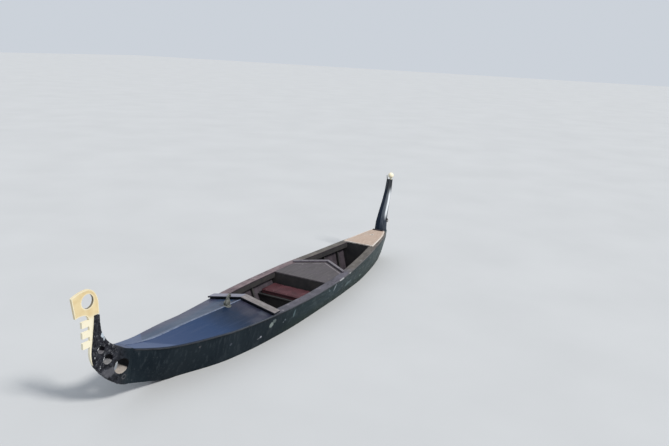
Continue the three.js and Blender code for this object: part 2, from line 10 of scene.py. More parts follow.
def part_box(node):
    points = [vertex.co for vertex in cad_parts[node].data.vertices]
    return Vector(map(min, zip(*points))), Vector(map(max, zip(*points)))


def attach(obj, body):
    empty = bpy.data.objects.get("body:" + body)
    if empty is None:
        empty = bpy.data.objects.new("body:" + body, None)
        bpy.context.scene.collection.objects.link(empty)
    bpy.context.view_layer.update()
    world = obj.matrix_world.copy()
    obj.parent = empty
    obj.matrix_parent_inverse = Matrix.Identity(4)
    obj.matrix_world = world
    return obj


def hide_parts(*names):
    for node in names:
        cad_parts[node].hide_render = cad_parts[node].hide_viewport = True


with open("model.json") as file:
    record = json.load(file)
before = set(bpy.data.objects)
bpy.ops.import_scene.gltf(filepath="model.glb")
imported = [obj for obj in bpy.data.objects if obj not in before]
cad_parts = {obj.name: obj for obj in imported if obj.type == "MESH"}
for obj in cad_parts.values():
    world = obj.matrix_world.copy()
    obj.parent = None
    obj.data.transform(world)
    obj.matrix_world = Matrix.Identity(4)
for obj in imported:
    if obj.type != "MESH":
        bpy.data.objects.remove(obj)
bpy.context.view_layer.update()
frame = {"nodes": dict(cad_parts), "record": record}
NODES = frame["nodes"]
UP = Vector((0, 0, 1))
PORT = Vector((0, 1, 0))
# Points closer than this are one point
WELD_GAP = 0.00005

# Camera of the photograph and its level of the water, in the row's frame
WATERLINE = 0.26
CAMERA_AT = Vector((7.408, 4.696, 3.76))
VIEW_HEADING = math.radians(-152.0)
VIEW_PITCH = math.radians(14.3)
VIEW_ROLL = math.radians(2.63)
SENSOR = 36.0
FOCAL_PIXELS = 680.0
IMAGE_WIDTH = 669.0
CLIP_END = 400


def new_object(name, data):
    made = bpy.data.objects.new(name, data)
    bpy.context.scene.collection.objects.link(made)
    return made


def make_camera():
    ahead = Vector((math.cos(VIEW_HEADING), math.sin(VIEW_HEADING), 0))
    level_right = Vector((ahead.y, -ahead.x, 0))
    forward = math.cos(VIEW_PITCH) * ahead - math.sin(VIEW_PITCH) * UP
    level_up = math.sin(VIEW_PITCH) * ahead + math.cos(VIEW_PITCH) * UP
    right = math.cos(VIEW_ROLL) * level_right + math.sin(VIEW_ROLL) * level_up
    up = math.cos(VIEW_ROLL) * level_up - math.sin(VIEW_ROLL) * level_right
    camera = bpy.data.cameras.new("camera")
    camera.sensor_width = SENSOR
    camera.lens = SENSOR * FOCAL_PIXELS / IMAGE_WIDTH
    camera.clip_end = CLIP_END
    eye = new_object("camera", camera)
    turn = Matrix((right, up, -forward)).transposed()
    eye.matrix_world = Matrix.Translation(CAMERA_AT) @ turn.to_4x4()
    bpy.context.scene.camera = eye


make_camera()

# How far noise eats into the edge of a mark, as a share of its radius
RAGGED = 0.8
# Distances in side view leave the breadth out
SIDE_VIEW = (1, 0, 1)


class Finish:
    """A procedural material, built node by node in the row's own coordinates."""

    def __init__(self, name):
        self.material = bpy.data.materials.new(name)
        self.material.use_nodes = True
        self.tree = self.material.node_tree
        self.tree.nodes.clear()
        self.shader = self.node("ShaderNodeBsdfPrincipled")
        self.node("ShaderNodeOutputMaterial", {0: self.shader.outputs[0]})
        self.place = self.node("ShaderNodeTexCoord").outputs["Object"]
        self.surface = self.node("ShaderNodeNewGeometry")
        self.x, self.y, self.z = (self.axis(letter, self.place) for letter in "XYZ")
        self.colour = None

    def node(self, kind, feeds=(), **settings):
        """A node with its settings; feeds says what goes into its sockets, by name or number."""
        made = self.tree.nodes.new(kind)
        for key, setting in settings.items():
            setattr(made, key, setting)
        for key, value in dict(feeds).items():
            self.feed(made.inputs[key], value)
        return made

    def feed(self, socket, value):
        """Links a socket, or sets it to a number, a vector or a colour."""
        if isinstance(value, bpy.types.NodeSocket):
            self.tree.links.new(value, socket)
        elif isinstance(value, tuple) and len(value) == 3 and socket.type == "RGBA":
            socket.default_value = (*value, 1)
        else:
            socket.default_value = value

    def set(self, **values):
        for key, value in values.items():
            self.feed(self.shader.inputs[key.replace("_", " ")], value)

    def noise(self, scale, detail=5, rough=0.6, at=None):
        feeds = {"Vector": at or self.place, "Scale": scale, "Detail": detail, "Roughness": rough}
        return self.node("ShaderNodeTexNoise", feeds).outputs["Fac"]

    def streaks(self, x, y, z, detail=5, rough=0.6):
        """Noise with its own scale along each axis of the row."""
        mapping = self.node("ShaderNodeMapping", {"Vector": self.place, "Scale": (x, y, z)})
        return self.noise(1, detail, rough, mapping.outputs[0])

    def math(self, operation, a, b=0.0, c=0.0):
        return self.node("ShaderNodeMath", {0: a, 1: b, 2: c}, operation=operation).outputs[0]

    def add(self, base, value, share):
        """The base plus a share of the value."""
        return self.math("MULTIPLY_ADD", value, share, base)

    def times(self, a, *others):
        for other in others:
            a = self.math("MULTIPLY", a, other)
        return a

    def step(self, value, low, high, out_low=0.0, out_high=1.0):
        """Smooth step of a value from low to high."""
        feeds = {"Value": value, "From Min": low, "From Max": high, "To Min": out_low, "To Max": out_high}
        return self.node("ShaderNodeMapRange", feeds, interpolation_type="SMOOTHSTEP").outputs[0]

    def mix(self, share, a, b):
        return self.node("ShaderNodeMix", {0: share, 6: a, 7: b}, data_type="RGBA").outputs[2]

    def over(self, base, colour, *shares):
        """The colour laid over the base, as far as all the shares let it."""
        return self.mix(self.times(*shares), base, colour)

    def lay(self, colour, *shares):
        """Another coat over the finish's own colour."""
        self.colour = self.over(self.colour, colour, *shares)

    def ramp(self, value, *stops):
        made = self.node("ShaderNodeValToRGB", {0: value})
        elements = made.color_ramp.elements
        while len(elements) < len(stops):
            elements.new(0.5)
        for element, (position, colour) in zip(elements, stops):
            element.position = position
            element.color = (*colour, 1)
        return made.outputs[0]

    def fade(self, value, dark, light, low=0.3, high=0.7):
        return self.ramp(value, (low, dark), (high, light))

    def along(self, value, low, high, *stops):
        """Colours at places of a value between low and high."""
        share = self.add(-low / (high - low), value, 1 / (high - low))
        return self.ramp(share, *[((place - low) / (high - low), colour) for place, colour in stops])

    def axis(self, letter, of):
        return self.node("ShaderNodeSeparateXYZ", {0: of}).outputs[letter]

    def facing(self, letter):
        """How far the surface faces along an axis of the row."""
        return self.axis(letter, self.surface.outputs["Normal"])

    def band(self, value, low, high, soft):
        """One where the value lies between low and high, fading over soft."""
        rise = self.step(value, low - soft, low + soft)
        fall = self.step(value, high - soft, high + soft, 1.0, 0.0)
        return self.times(rise, fall)

    def vector(self, operation, output, a, b=(0, 0, 0)):
        return self.node("ShaderNodeVectorMath", {0: a, 1: b}, operation=operation).outputs[output]

    def away(self, centre, flat):
        """Distance from a point; flat stretches it along the axes."""
        from_centre = self.vector("SUBTRACT", 0, self.place, centre)
        return self.vector("LENGTH", "Value", self.vector("MULTIPLY", 0, from_centre, flat))

    def marks(self, grain, rows, soft=0.2):
        """Ragged patches. Columns of the rows: centre, radius, stretch, share, colour."""
        for centre, radius, flat, share, colour in rows:
            edge = self.add((1 + RAGGED) * radius, grain, -2 * RAGGED * radius)
            gap = self.math("SUBTRACT", edge, self.away(centre, flat))
            self.lay(colour, self.step(gap, -soft * radius, soft * radius), share)

    def edges(self, radius, low, high):
        """Near one on sharp edges, zero on flats."""
        bevel = self.node("ShaderNodeBevel", {"Radius": radius}, samples=4)
        level = self.vector("DOT_PRODUCT", "Value", bevel.outputs[0], self.surface.outputs["Normal"])
        return self.step(self.math("SUBTRACT", 1.0, level), low, high)

    def done(self, roughness, specular, height, depth=0.001, strength=0.5):
        """The finished material; the height gives it a bump of that depth."""
        feeds = {"Strength": strength, "Distance": depth, "Height": height}
        bump = self.node("ShaderNodeBump", feeds).outputs[0]
        self.set(Base_Color=self.colour, Roughness=roughness, Specular_IOR_Level=specular, Normal=bump)
        return self.material


# Scuffs of the hull, as rows of marks
HULL_MARKS = [
    ((0.951, 0.462, 0.487), 0.036, (0.92, 0.4, 1.05), 0.9, (0.2, 0.235, 0.225)),
    ((0.905, 0.473, 0.525), 0.02, (0.6, 0.4, 0.8), 0.6, (0.15, 0.18, 0.18)),
    ((1.118, 0.422, 0.381), 0.015, (0.9, 0.4, 1), 0.95, (0.27, 0.28, 0.32)),
    ((1.16, 0.415, 0.37), 0.012, (0.4, 0.4, 1.6), 0.5, (0.16, 0.17, 0.19)),
    ((0.667, 0.479, 0.464), 0.012, (1, 0.4, 1), 0.8, (0.15, 0.18, 0.21)),
    ((0.693, 0.47, 0.439), 0.012, (1, 0.4, 1), 0.7, (0.12, 0.14, 0.155)),
    ((0.479, 0.494, 0.49), 0.026, (1.3, 0.4, 0.45), 0.7, (0.1, 0.145, 0.16)),
    ((1.64, 0.372, 0.468), 0.018, (1, 0.4, 1), 0.6, (0.07, 0.08, 0.1)),
    ((2.099, 0.304, 0.595), 0.014, (1, 0.4, 1), 0.6, (0.09, 0.09, 0.1)),
    ((-0.585, 0.505, 0.53), 0.026, (1.1, 0.4, 0.42), 0.8, (0.2, 0.235, 0.26)),
    ((-0.431, 0.506, 0.521), 0.013, (1, 0.4, 1), 0.8, (0.18, 0.24, 0.26)),
    ((-0.395, 0.51, 0.545), 0.012, (1, 0.4, 1), 0.6, (0.15, 0.2, 0.22)),
    ((-1.1, 0.428, 0.422), 0.034, (0.5, 0.4, 1.0), 0.6, (0.12, 0.17, 0.175)),
    ((-1.217, 0.417, 0.425), 0.03, (0.5, 0.4, 1.2), 0.5, (0.13, 0.17, 0.18)),
    ((-1.684, 0.353, 0.378), 0.016, (1, 0.4, 1), 0.9, (0.26, 0.34, 0.31)),
]
# Colours of the aft hull. Columns: place along the boat, colour
AFT_COLOURS = [
    (-2.3, (0.05, 0.068, 0.07)),
    (-1.3, (0.024, 0.038, 0.04)),
    (-0.1, (0.016, 0.032, 0.04)),
    (1.3, (0.008, 0.017, 0.02)),
]
# Stains, scratches and rubs that grow towards the stern.
# Columns: scale, detail, roughness, range of the noise, places, share, colour
AFT_WEAR = [
    ((3, 3, 12), 5, 0.65, (0.5, 0.38), (0.6, -0.8), 0.5, (0.007, 0.014, 0.014)),
    ((7, 7, 70), 6, 0.75, (0.54, 0.64), (0.8, -0.8), 0.45, (0.12, 0.145, 0.15)),
    ((10, 10, 28), 6, 0.8, (0.55, 0.65), (0.2, -1.0), 0.65, (0.15, 0.175, 0.175)),
]
UPRIGHT = (26, 26, 1.6)


def near_black(f):
    """Paint that the hull and the stem share, with faint upright streaks."""
    f.colour = f.fade(f.noise(2.2, 4), (0.006, 0.011, 0.016), (0.012, 0.019, 0.025), 0.35, 0.65)
    f.lay((0.024, 0.032, 0.039), f.step(f.streaks(*UPRIGHT), 0.5, 0.66, 0.0, 0.75))
    specks = f.step(f.noise(34, 5, 0.75), 0.6, 0.66)
    f.lay((0.1, 0.105, 0.115), specks, f.step(f.x, 2.2, 2.8), 0.35)


def aft_hull(f, mottle):
    """The hull turns greyer and greener towards the stern, and more worn, with a painted sky reflection:
    lighter above, darker green low down.
    """
    aft = f.along(f.add(f.x, mottle, 0.9), -2.9, 1.4, *AFT_COLOURS)
    aft = f.over(aft, (0.046, 0.064, 0.07), f.step(mottle, 0.5, 0.64, 0.0, 0.7))
    # painted reflection: the aft hull darkens to green low down, so its upper part looks lit by the sky
    low = f.step(f.add(f.z, mottle, 0.16), 0.52, 0.38)
    aft = f.over(aft, (0.01, 0.021, 0.018), low, 0.7)
    f.lay(aft, f.step(f.x, 1.1, 0.2))
    for scale, detail, rough, levels, places, share, colour in AFT_WEAR:
        wear = f.step(f.streaks(*scale, detail, rough), *levels)
        f.lay(colour, f.step(f.x, *places), wear, share)


def hull_lining(f, mottle):
    """Grey-purple on the faces that look inward or up."""
    outward = f.times(f.math("SIGN", f.y), f.facing("Y"))
    inner = f.math("MAXIMUM", f.step(outward, 0.05, -0.05), f.step(f.facing("Z"), 0.35, 0.55))
    f.lay(f.fade(mottle, (0.045, 0.038, 0.045), (0.078, 0.066, 0.078), 0.35, 0.65), inner)


def hull_paint(name, has_inside):
    """Worn near-black paint with a thin green-brown growth under the waterline."""
    f = Finish(name)
    mottle = f.noise(9, 6, 0.7)
    near_black(f)
    aft_hull(f, mottle)
    f.lay((0.12, 0.13, 0.135), f.step(f.noise(60, 3, 0.7), 0.7, 0.74), 0.5)
    f.marks(f.noise(40, 5, 0.65), HULL_MARKS)
    growth = f.fade(f.noise(30, 5, 0.7), (0.014, 0.02, 0.009), (0.05, 0.055, 0.025))
    f.lay(growth, f.step(f.add(f.z, f.noise(7), 0.05), 0.3, 0.27), 0.8)
    if has_inside:
        hull_lining(f, mottle)
    height = f.math("ADD", f.times(f.streaks(*UPRIGHT), 0.5), f.noise(45, 4))
    return f.done(f.step(mottle, 0.3, 0.7, 0.42, 0.56), 0.05, height, 0.0015, 0.6)


# Chips and rubbed spots of the stem
STEM_MARKS = [
    ((3.145, 0.03, 0.652), 0.07, (0.6, 0.3, 1.5), 0.65, (0.11, 0.11, 0.125)),
    ((3.185, 0.035, 1.062), 0.016, (1, 0.3, 0.6), 0.9, (0.46, 0.52, 0.58)),
    ((3.17, 0.035, 1.02), 0.011, (1, 0.3, 0.6), 0.8, (0.38, 0.42, 0.46)),
    ((3.279, 0.02, 0.859), 0.007, (1, 0.3, 0.6), 0.7, (0.32, 0.33, 0.35)),
    ((3.225, 0.02, 0.735), 0.007, (1, 0.3, 0.8), 0.7, (0.32, 0.33, 0.35)),
]
# Holes of the stem. Columns: x, z, radius, colour of the worn lower wall where it faces up into the sun;
# the rest of each wall is painted shade
STEM_HOLES = [
    (3.207, 0.917, 0.037, (0.17, 0.165, 0.18)),
    (3.139, 0.798, 0.05, (0.26, 0.255, 0.26)),
    (2.988, 0.671, 0.078, (0.43, 0.38, 0.34)),
]
# Painted shade on the walls of the stem's holes
HOLE_SHADE = (0.002, 0.002, 0.004)
# Bare shoulder behind the first hole, and a faint ring on the hull below the last one
STEM_SHOULDER = (3.09, 0, 0.95)
RING_MARK = (2.957, 0.05, 0.54)
DECK_TIP = (0.092, 0.112, 0.175)


def chipped(f, grain):
    """Specks and flakes forward of the stem's root, most of them on the shoulder."""
    forward = f.step(f.x, 2.94, 3.12)
    specks = f.step(f.noise(36, 5, 0.75), 0.56, 0.62)
    f.lay((0.17, 0.175, 0.19), specks, forward, 0.5)
    shoulder = f.step(f.away(STEM_SHOULDER, (1, 0, 0.8)), 0.13, 0.05, 0.0, 0.05)
    flakes = f.step(f.math("ADD", f.noise(50, 3, 0.8), shoulder), 0.64, 0.69)
    f.lay((0.36, 0.365, 0.385), flakes, forward, 0.7)
    f.marks(grain, STEM_MARKS)
    ring = f.band(f.away(RING_MARK, SIDE_VIEW), 0.018, 0.027, 0.005)
    f.lay((0.15, 0.145, 0.15), ring, f.step(grain, 0.35, 0.55), 0.6)


def hole_walls(f, grain):
    """The wall of each hole is painted black above as shade, and worn to a pale wood below, where it faces
    up into the sun.
    """
    wall = f.step(f.math("ABSOLUTE", f.facing("Y")), 0.75, 0.5)
    lit = f.step(f.facing("Z"), 0.42, 0.6)
    patchy = f.step(grain, 0.3, 0.5, 0.6, 1.0)
    for x, z, radius, worn in STEM_HOLES:
        near = f.times(wall, f.step(f.away((x, 0, z), SIDE_VIEW), 1.25 * radius, 1.12 * radius))
        # painted shade over each hole's wall, then its worn pale colour only where it faces up into the
        # light
        f.lay(HOLE_SHADE, near)
        f.lay(worn, near, lit, patchy)


def stem_paint():
    """Rough black paint, chipped forward, with the deck's paint run on over its root."""
    f = Finish("stem_paint")
    lumps = f.noise(28, 5, 0.65)
    grain = f.noise(40, 5, 0.7)
    rough = f.fade(lumps, (0.005, 0.0055, 0.008), (0.028, 0.03, 0.038), 0.38, 0.64)
    near_black(f)
    f.lay(rough, f.step(f.x, 2.88, 3.05))
    chipped(f, grain)
    hole_walls(f, grain)
    tip = f.step(f.add(f.x, f.noise(30, 3), 0.03), 2.975, 2.965)
    level = f.times(f.step(f.facing("Z"), 0.78, 0.9), f.step(f.z, 0.8, 0.81))
    f.lay(DECK_TIP, tip, level)
    height = f.math("ADD", lumps, f.noise(90, 4, 0.7))
    return f.done(f.step(lumps, 0.3, 0.7, 0.42, 0.6), 0.08, height, 0.003, 0.8)


# Wear of the foredeck
DECK_MARKS = [
    ((1.021, 0.381, 0.641), 0.04, (0.8, 0.8, 1), 0.35, (0.12, 0.13, 0.155)),
    ((0.977, 0.098, 0.742), 0.06, (0.6, 1, 1), 0.7, (0.045, 0.042, 0.066)),
    ((1.122, 0.262, 0.69), 0.07, (0.7, 1, 1), 0.6, (0.05, 0.05, 0.07)),
    ((1.199, 0.432, 0.64), 0.05, (0.5, 1, 1), 0.6, (0.055, 0.058, 0.08)),
]
# Colours along the port slope, and of the painted sky reflection along the ridge. Columns: place along the
# boat, colour
PORT_SLOPE = [
    (0.95, (0.018, 0.02, 0.036)),
    (1.4, (0.006, 0.017, 0.043)),
    (1.85, (0.014, 0.036, 0.094)),
    (2.4, (0.029, 0.052, 0.12)),
]
RIDGE_REFLECTION_COLOURS = [
    (1.2, (0.06, 0.072, 0.105)),
    (2.0, (0.08, 0.112, 0.172)),
    (2.5, (0.11, 0.155, 0.235)),
]
# Where the deck's crease meets the ridge, and its slant and softness
CREASE = 2.64
CREASE_SLANT = 0.93
CREASE_SOFT = 0.008
# The deck's half breadth at place 0, and its change with each metre forward
DECK_HALF = 0.67
DECK_TAPER = -0.175


def port_slope(f, cloud, streak):
    """A gradient from purple-black at the coaming to blue at the bow."""
    place = f.add(f.math("SUBTRACT", f.x, 0.25), cloud, 0.5)
    slope = f.along(place, 0.8, 2.8, *PORT_SLOPE)
    return f.over(slope, (0.06, 0.08, 0.14), f.step(streak, 0.48, 0.75, 0.0, 0.25))


def starboard_slope(f, off, grain):
    """Bands between a paler crest and the deck's edge, with brown streaks; the crest and the lighter bands
    are painted sky reflection.
    """
    reach = f.math("DIVIDE", off, f.add(DECK_HALF, f.x, DECK_TAPER))
    slope = f.along(reach, 0, 1, (0.5, (0.033, 0.058, 0.108)), (0.85, (0.053, 0.058, 0.102)))
    # painted sky reflection along the crest
    crest = f.along(f.x, 0.9, 2.7, *RIDGE_REFLECTION_COLOURS)
    slope = f.over(slope, crest, f.step(f.add(off, grain, 0.02), 0.062, 0.048))
    brown = f.step(f.streaks(1.6, 16, 16), 0.5, 0.66)
    return f.over(slope, (0.07, 0.06, 0.082), brown, 0.3)


def deck_paint():
    """Blue varnish, purple-brown where it is worn near the coaming, paler forward of the crease, with
    painted sky reflection on the starboard slope and painted highlights on its edges.
    """
    f = Finish("deck_paint")
    off = f.math("ABSOLUTE", f.y)
    streak = f.streaks(2.2, 30, 30)
    cloud = f.noise(2.6)
    grain = f.noise(22, 5, 0.65)
    starboard = starboard_slope(f, off, grain)
    # painted sky reflection: the starboard slope is lighter than the port one
    f.colour = f.mix(f.step(f.y, -0.002, 0.002), starboard, port_slope(f, cloud, streak))
    worn = f.step(f.noise(8, 5, 0.65), 0.46, 0.62)
    f.lay((0.03, 0.027, 0.045), f.step(f.x, 1.45, 1.05), worn, 0.5)
    f.marks(grain, DECK_MARKS, soft=0.9)
    tip = f.step(f.add(f.x, off, CREASE_SLANT), CREASE - CREASE_SOFT, CREASE + CREASE_SOFT)
    f.lay(f.fade(cloud, (0.054, 0.078, 0.152), (0.067, 0.099, 0.186)), tip)
    # painted highlight on the deck's edges and ridge, laid in patches
    wear_and_shine = f.step(f.noise(18, 5, 0.7), 0.35, 0.6)
    edge_highlight = f.along(f.x, 1.0, 2.8, (1.5, (0.12, 0.145, 0.17)), (2.0, (0.05, 0.065, 0.095)))
    f.lay(edge_highlight, f.edges(0.012, 0.01, 0.1), wear_and_shine, 0.7)
    f.lay((0.01, 0.013, 0.019), f.step(f.facing("Z"), 0.6, 0.4))
    height = f.math("ADD", f.noise(24, 4), streak)
    return f.done(f.step(cloud, 0.2, 0.8, 0.28, 0.42), 0.16, height)


def ridge_paint():
    f = Finish("ridge_paint")
    worn = f.noise(14, 5, 0.7)
    f.colour = f.fade(worn, (0.08, 0.1, 0.155), (0.17, 0.2, 0.28), 0.35, 0.62)
    return f.done(0.45, 0.3, worn)


# Bright worn stretch of the rail
RAIL_MARKS = [
    ((-0.73, 0.525, 0.635), 0.075, (1, 0.6, 0.8), 0.75, (0.36, 0.36, 0.37)),
    ((-1.03, 0.505, 0.635), 0.03, (1, 0.6, 0.8), 0.6, (0.3, 0.3, 0.3)),
]
# Colours of the rail's top. Columns: place along the boat, colour
RAIL_COLOURS = [
    (-1.2, (0.12, 0.112, 0.11)),
    (-0.5, (0.082, 0.086, 0.102)),
    (0.4, (0.07, 0.07, 0.086)),
    (1.3, (0.052, 0.062, 0.08)),
    (2.1, (0.018, 0.026, 0.042)),
]


def gunwale_paint():
    """Dark below, worn on top."""
    f = Finish("gunwale_paint")
    worn = f.streaks(9, 40, 40, 5, 0.7)
    f.colour = f.fade(worn, (0.014, 0.016, 0.02), (0.033, 0.036, 0.042), 0.35, 0.65)
    top = f.along(f.x, -1.5, 2.5, *RAIL_COLOURS)
    f.lay(top, f.step(f.facing("Z"), 0.05, 0.5), f.step(worn, 0.3, 0.55, 0.35, 1.0))
    f.marks(f.noise(40, 5, 0.65), RAIL_MARKS)
    return f.done(0.5, 0.25, worn)


# Sweep of the middle deck's bar, and the place of the pale line along it
BAR_SLANT = -0.696
BAR_LINE = (-1.195, -1.175)


def weathered_cap():
    """Bare worn boards of the middle deck, with a pale line along the bar."""
    f = Finish("weathered_cap")
    grain = f.streaks(4, 70, 70, 6, 0.65)
    cloud = f.noise(5, 5, 0.65)
    f.colour = f.fade(grain, (0.055, 0.05, 0.053), (0.112, 0.1, 0.105))
    f.lay((0.085, 0.074, 0.084), f.step(cloud, 0.42, 0.66, 0.0, 0.6))
    f.lay((0.28, 0.26, 0.25), f.step(f.noise(11, 6, 0.7), 0.6, 0.68), 0.4)
    along_bar = f.band(f.add(f.x, f.math("ABSOLUTE", f.y), BAR_SLANT), *BAR_LINE, 0.006)
    f.lay((0.3, 0.27, 0.29), along_bar, f.step(cloud, 0.35, 0.5), 0.6)
    return f.done(0.66, 0.3, grain, 0.0015, 0.6)


def side_deck_paint():
    """Lilac to port, pinkish to starboard, tan towards the stern, dark along the cockpit."""
    f = Finish("side_deck_paint")
    grain = f.streaks(4, 60, 60, 6, 0.65)
    cloud = f.noise(6, 5, 0.65)
    lilac = f.fade(cloud, (0.064, 0.062, 0.076), (0.112, 0.105, 0.13), 0.35, 0.65)
    pinkish = f.fade(cloud, (0.13, 0.095, 0.105), (0.22, 0.165, 0.172), 0.35, 0.65)
    tan = f.fade(cloud, (0.078, 0.07, 0.062), (0.145, 0.13, 0.115), 0.35, 0.65)
    f.colour = f.mix(f.step(f.y, -0.01, 0.01), pinkish, lilac)
    f.lay(tan, f.step(f.add(f.x, cloud, 0.3), -0.8, -1.1))
    f.lay((0.05, 0.043, 0.047), f.step(grain, 0.52, 0.68, 0.0, 0.6))
    stained = f.step(f.streaks(6, 22, 22, 6, 0.75), 0.55, 0.62)
    f.lay((0.03, 0.026, 0.03), stained, 0.6)
    f.lay((0.3, 0.28, 0.29), f.step(f.noise(13, 6, 0.7), 0.58, 0.64), 0.4)
    inward = f.times(f.math("SIGN", f.y), f.facing("Y"))
    f.lay((0.035, 0.027, 0.035), f.step(inward, -0.3, -0.6))
    return f.done(0.62, 0.3, grain, 0.0015, 0.6)


# The coaming planks' forward edge is black from here on
COAMING_EDGE = (0.9545, 0.9575)


def coaming_paint():
    """Pale lilac to starboard, grey-brown and greenish to port, with black edges."""
    f = Finish("coaming_paint")
    grain = f.streaks(60, 5, 30, 6, 0.65)
    cloud = f.noise(7, 5, 0.65)
    bare = f.fade(grain, (0.115, 0.1, 0.1), (0.26, 0.24, 0.245))
    bare = f.over(bare, (0.13, 0.125, 0.11), f.step(cloud, 0.5, 0.62, 0.0, 0.6))
    painted = f.fade(cloud, (0.19, 0.19, 0.235), (0.28, 0.28, 0.34))
    top = f.mix(f.step(f.y, -0.005, 0.005), painted, bare)
    black = f.math("MAXIMUM", f.step(f.facing("Z"), 0.75, 0.4), f.step(f.x, *COAMING_EDGE))
    f.colour = f.over(top, (0.006, 0.008, 0.014), black)
    return f.done(0.6, 0.2, grain, 0.0012, 0.6)


PLANK_THICK = 0.018


def riser_paint():
    """Dark blue, with painted shadow in black close under the two planks."""
    f = Finish("riser_paint")
    grain = f.streaks(12, 12, 60)
    f.colour = f.fade(grain, (0.008, 0.011, 0.021), (0.019, 0.026, 0.048))
    low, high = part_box("coaming_plank_port")
    slope = (high.z - low.z - PLANK_THICK) / high.y
    under = f.add(f.z, f.math("ABSOLUTE", f.y), slope)
    shade = f.step(under, high.z - PLANK_THICK - 0.065, high.z - PLANK_THICK - 0.04)
    # painted shadow under the planks' edges
    f.lay((0.003, 0.004, 0.008), shade)
    return f.done(0.5, 0.1, grain)


def bar_paint():
    """Dark purple bar with a worn grey top."""
    f = Finish("bar_paint")
    grain = f.streaks(20, 20, 60)
    side = f.fade(grain, (0.062, 0.054, 0.068), (0.13, 0.115, 0.138))
    top = f.fade(grain, (0.12, 0.112, 0.126), (0.21, 0.195, 0.212))
    f.colour = f.over(side, top, f.step(f.facing("Z"), 0.5, 0.8))
    return f.done(0.6, 0.25, grain)


def tar_black():
    f = Finish("tar_black")
    grain = f.streaks(12, 12, 60)
    f.colour = f.fade(grain, (0.012, 0.009, 0.013), (0.035, 0.028, 0.034))
    wear_and_shine = f.step(f.noise(20, 5, 0.7), 0.45, 0.6)
    f.lay((0.16, 0.14, 0.14), f.edges(0.008, 0.02, 0.2), wear_and_shine, 0.7)
    return f.done(0.55, 0.3, grain)


# The post's shoulders: half breadth at height 0, and how much they come in with each metre up
SHOULDER_FOOT = 0.1345
SHOULDER_SLOPE = 0.0497
# Colours of the post's port facet, painted lighter than the navy as the side that the sun falls on.
# Columns: height, colour
SUNLIT_FACET_COLOURS = [
    (0.75, (0.018, 0.026, 0.04)),
    (0.92, (0.038, 0.048, 0.067)),
    (1.15, (0.072, 0.085, 0.102)),
    (1.35, (0.07, 0.078, 0.092)),
    (1.5, (0.04, 0.043, 0.048)),
]
# Heights between which the painted highlight runs along the port shoulder, and where the black top starts
GLINT_HEIGHTS = (0.98, 1.4)
BLACK_TOP = (1.588, 1.594)


def shoulder_glint(f, ahead):
    """Painted highlight: a bright line just inside the port shoulder, and a halo round it."""
    shoulder = f.add(f.y, f.z, SHOULDER_SLOPE)
    line = f.band(shoulder, SHOULDER_FOOT - 0.03, SHOULDER_FOOT - 0.004, 0.008)
    halo = f.step(shoulder, SHOULDER_FOOT - 0.07, SHOULDER_FOOT - 0.02)
    patchy = f.step(f.streaks(30, 30, 6, 5, 0.7), 0.3, 0.5, 0.5, 1.0)
    height = f.times(ahead, f.band(f.z, *GLINT_HEIGHTS, 0.08), patchy)
    # painted highlight on the rounded port shoulder, with its halo
    f.lay((0.25, 0.28, 0.31), halo, height, 0.45)
    f.lay((0.76, 0.79, 0.82), line, height)


def post_paint():
    """Grey-blue on the front's port facet as painted sunlight, navy elsewhere, with a painted highlight
    along the port shoulder.
    """
    f = Finish("post_paint")
    streak = f.streaks(30, 30, 2.5)
    navy = f.fade(streak, (0.006, 0.013, 0.027), (0.013, 0.024, 0.044))
    # painted sunlight: the port facet is lit grey-blue, the rest stays navy
    facet = f.along(f.z, 0.7, 1.6, *SUNLIT_FACET_COLOURS)
    facet = f.over(facet, (0.13, 0.145, 0.165), f.step(streak, 0.5, 0.66, 0.0, 0.35))
    ahead = f.step(f.facing("X"), 0.2, 0.5)
    f.colour = f.over(navy, facet, f.step(f.y, 0.0, 0.006), ahead)
    head = f.times(f.step(f.z, 1.4, 1.48), f.step(f.y, -0.006, -0.012), ahead)
    f.lay((0.055, 0.06, 0.065), head, 0.8)
    crease = f.times(f.band(f.y, -0.008, 0.004, 0.002), f.step(f.z, 1.25, 1.42), ahead)
    f.lay((0.008, 0.009, 0.012), crease, 0.9)
    shoulder_glint(f, ahead)
    f.lay((0.01, 0.011, 0.013), f.step(f.z, *BLACK_TOP))
    return f.done(0.42, 0.08, streak)


# Hole in the iron's head, and the heights over which its leg gets paler
IRON_HOLE = (3.321, 0, 1.434)
IRON_LEG = (1.3, 1.24)


def cream_paint(name, dark, light, rust_share):
    """Cream paint, paler at the edges, with rust spots and a dark wall in the iron's hole."""
    f = Finish(name)
    cloud = f.noise(9)
    f.colour = f.fade(cloud, dark, light)
    wear_and_shine = f.math("MAXIMUM", f.edges(0.022, 0.002, 0.06), f.step(f.z, *IRON_LEG))
    f.lay((0.8, 0.75, 0.58), wear_and_shine, 0.9)
    f.lay((0.36, 0.22, 0.09), f.step(f.noise(26, 6, 0.7), 0.63, 0.72), rust_share)
    wall = f.step(f.math("ABSOLUTE", f.facing("Y")), 0.7, 0.4)
    near = f.step(f.away(IRON_HOLE, SIDE_VIEW), 0.088, 0.08)
    f.lay((0.09, 0.075, 0.05), wall, near, 0.85)
    return f.done(f.step(cloud, 0.3, 0.7, 0.42, 0.6), 0.4, f.noise(60, 4), 0.0008, 0.6)


def bare_ply():
    """Bare tan sheet with pale worn edges."""
    f = Finish("bare_ply")
    grain = f.streaks(5, 80, 80, 6)
    f.colour = f.fade(grain, (0.36, 0.27, 0.21), (0.52, 0.41, 0.34))
    f.lay((0.42, 0.36, 0.31), f.step(f.noise(4), 0.5, 0.75, 0.0, 0.6))
    wear_and_shine = f.step(f.noise(9, 5, 0.7), 0.3, 0.5)
    f.lay((0.8, 0.76, 0.71), f.edges(0.03, 0.004, 0.05), wear_and_shine)
    return f.done(0.7, 0.3, grain)


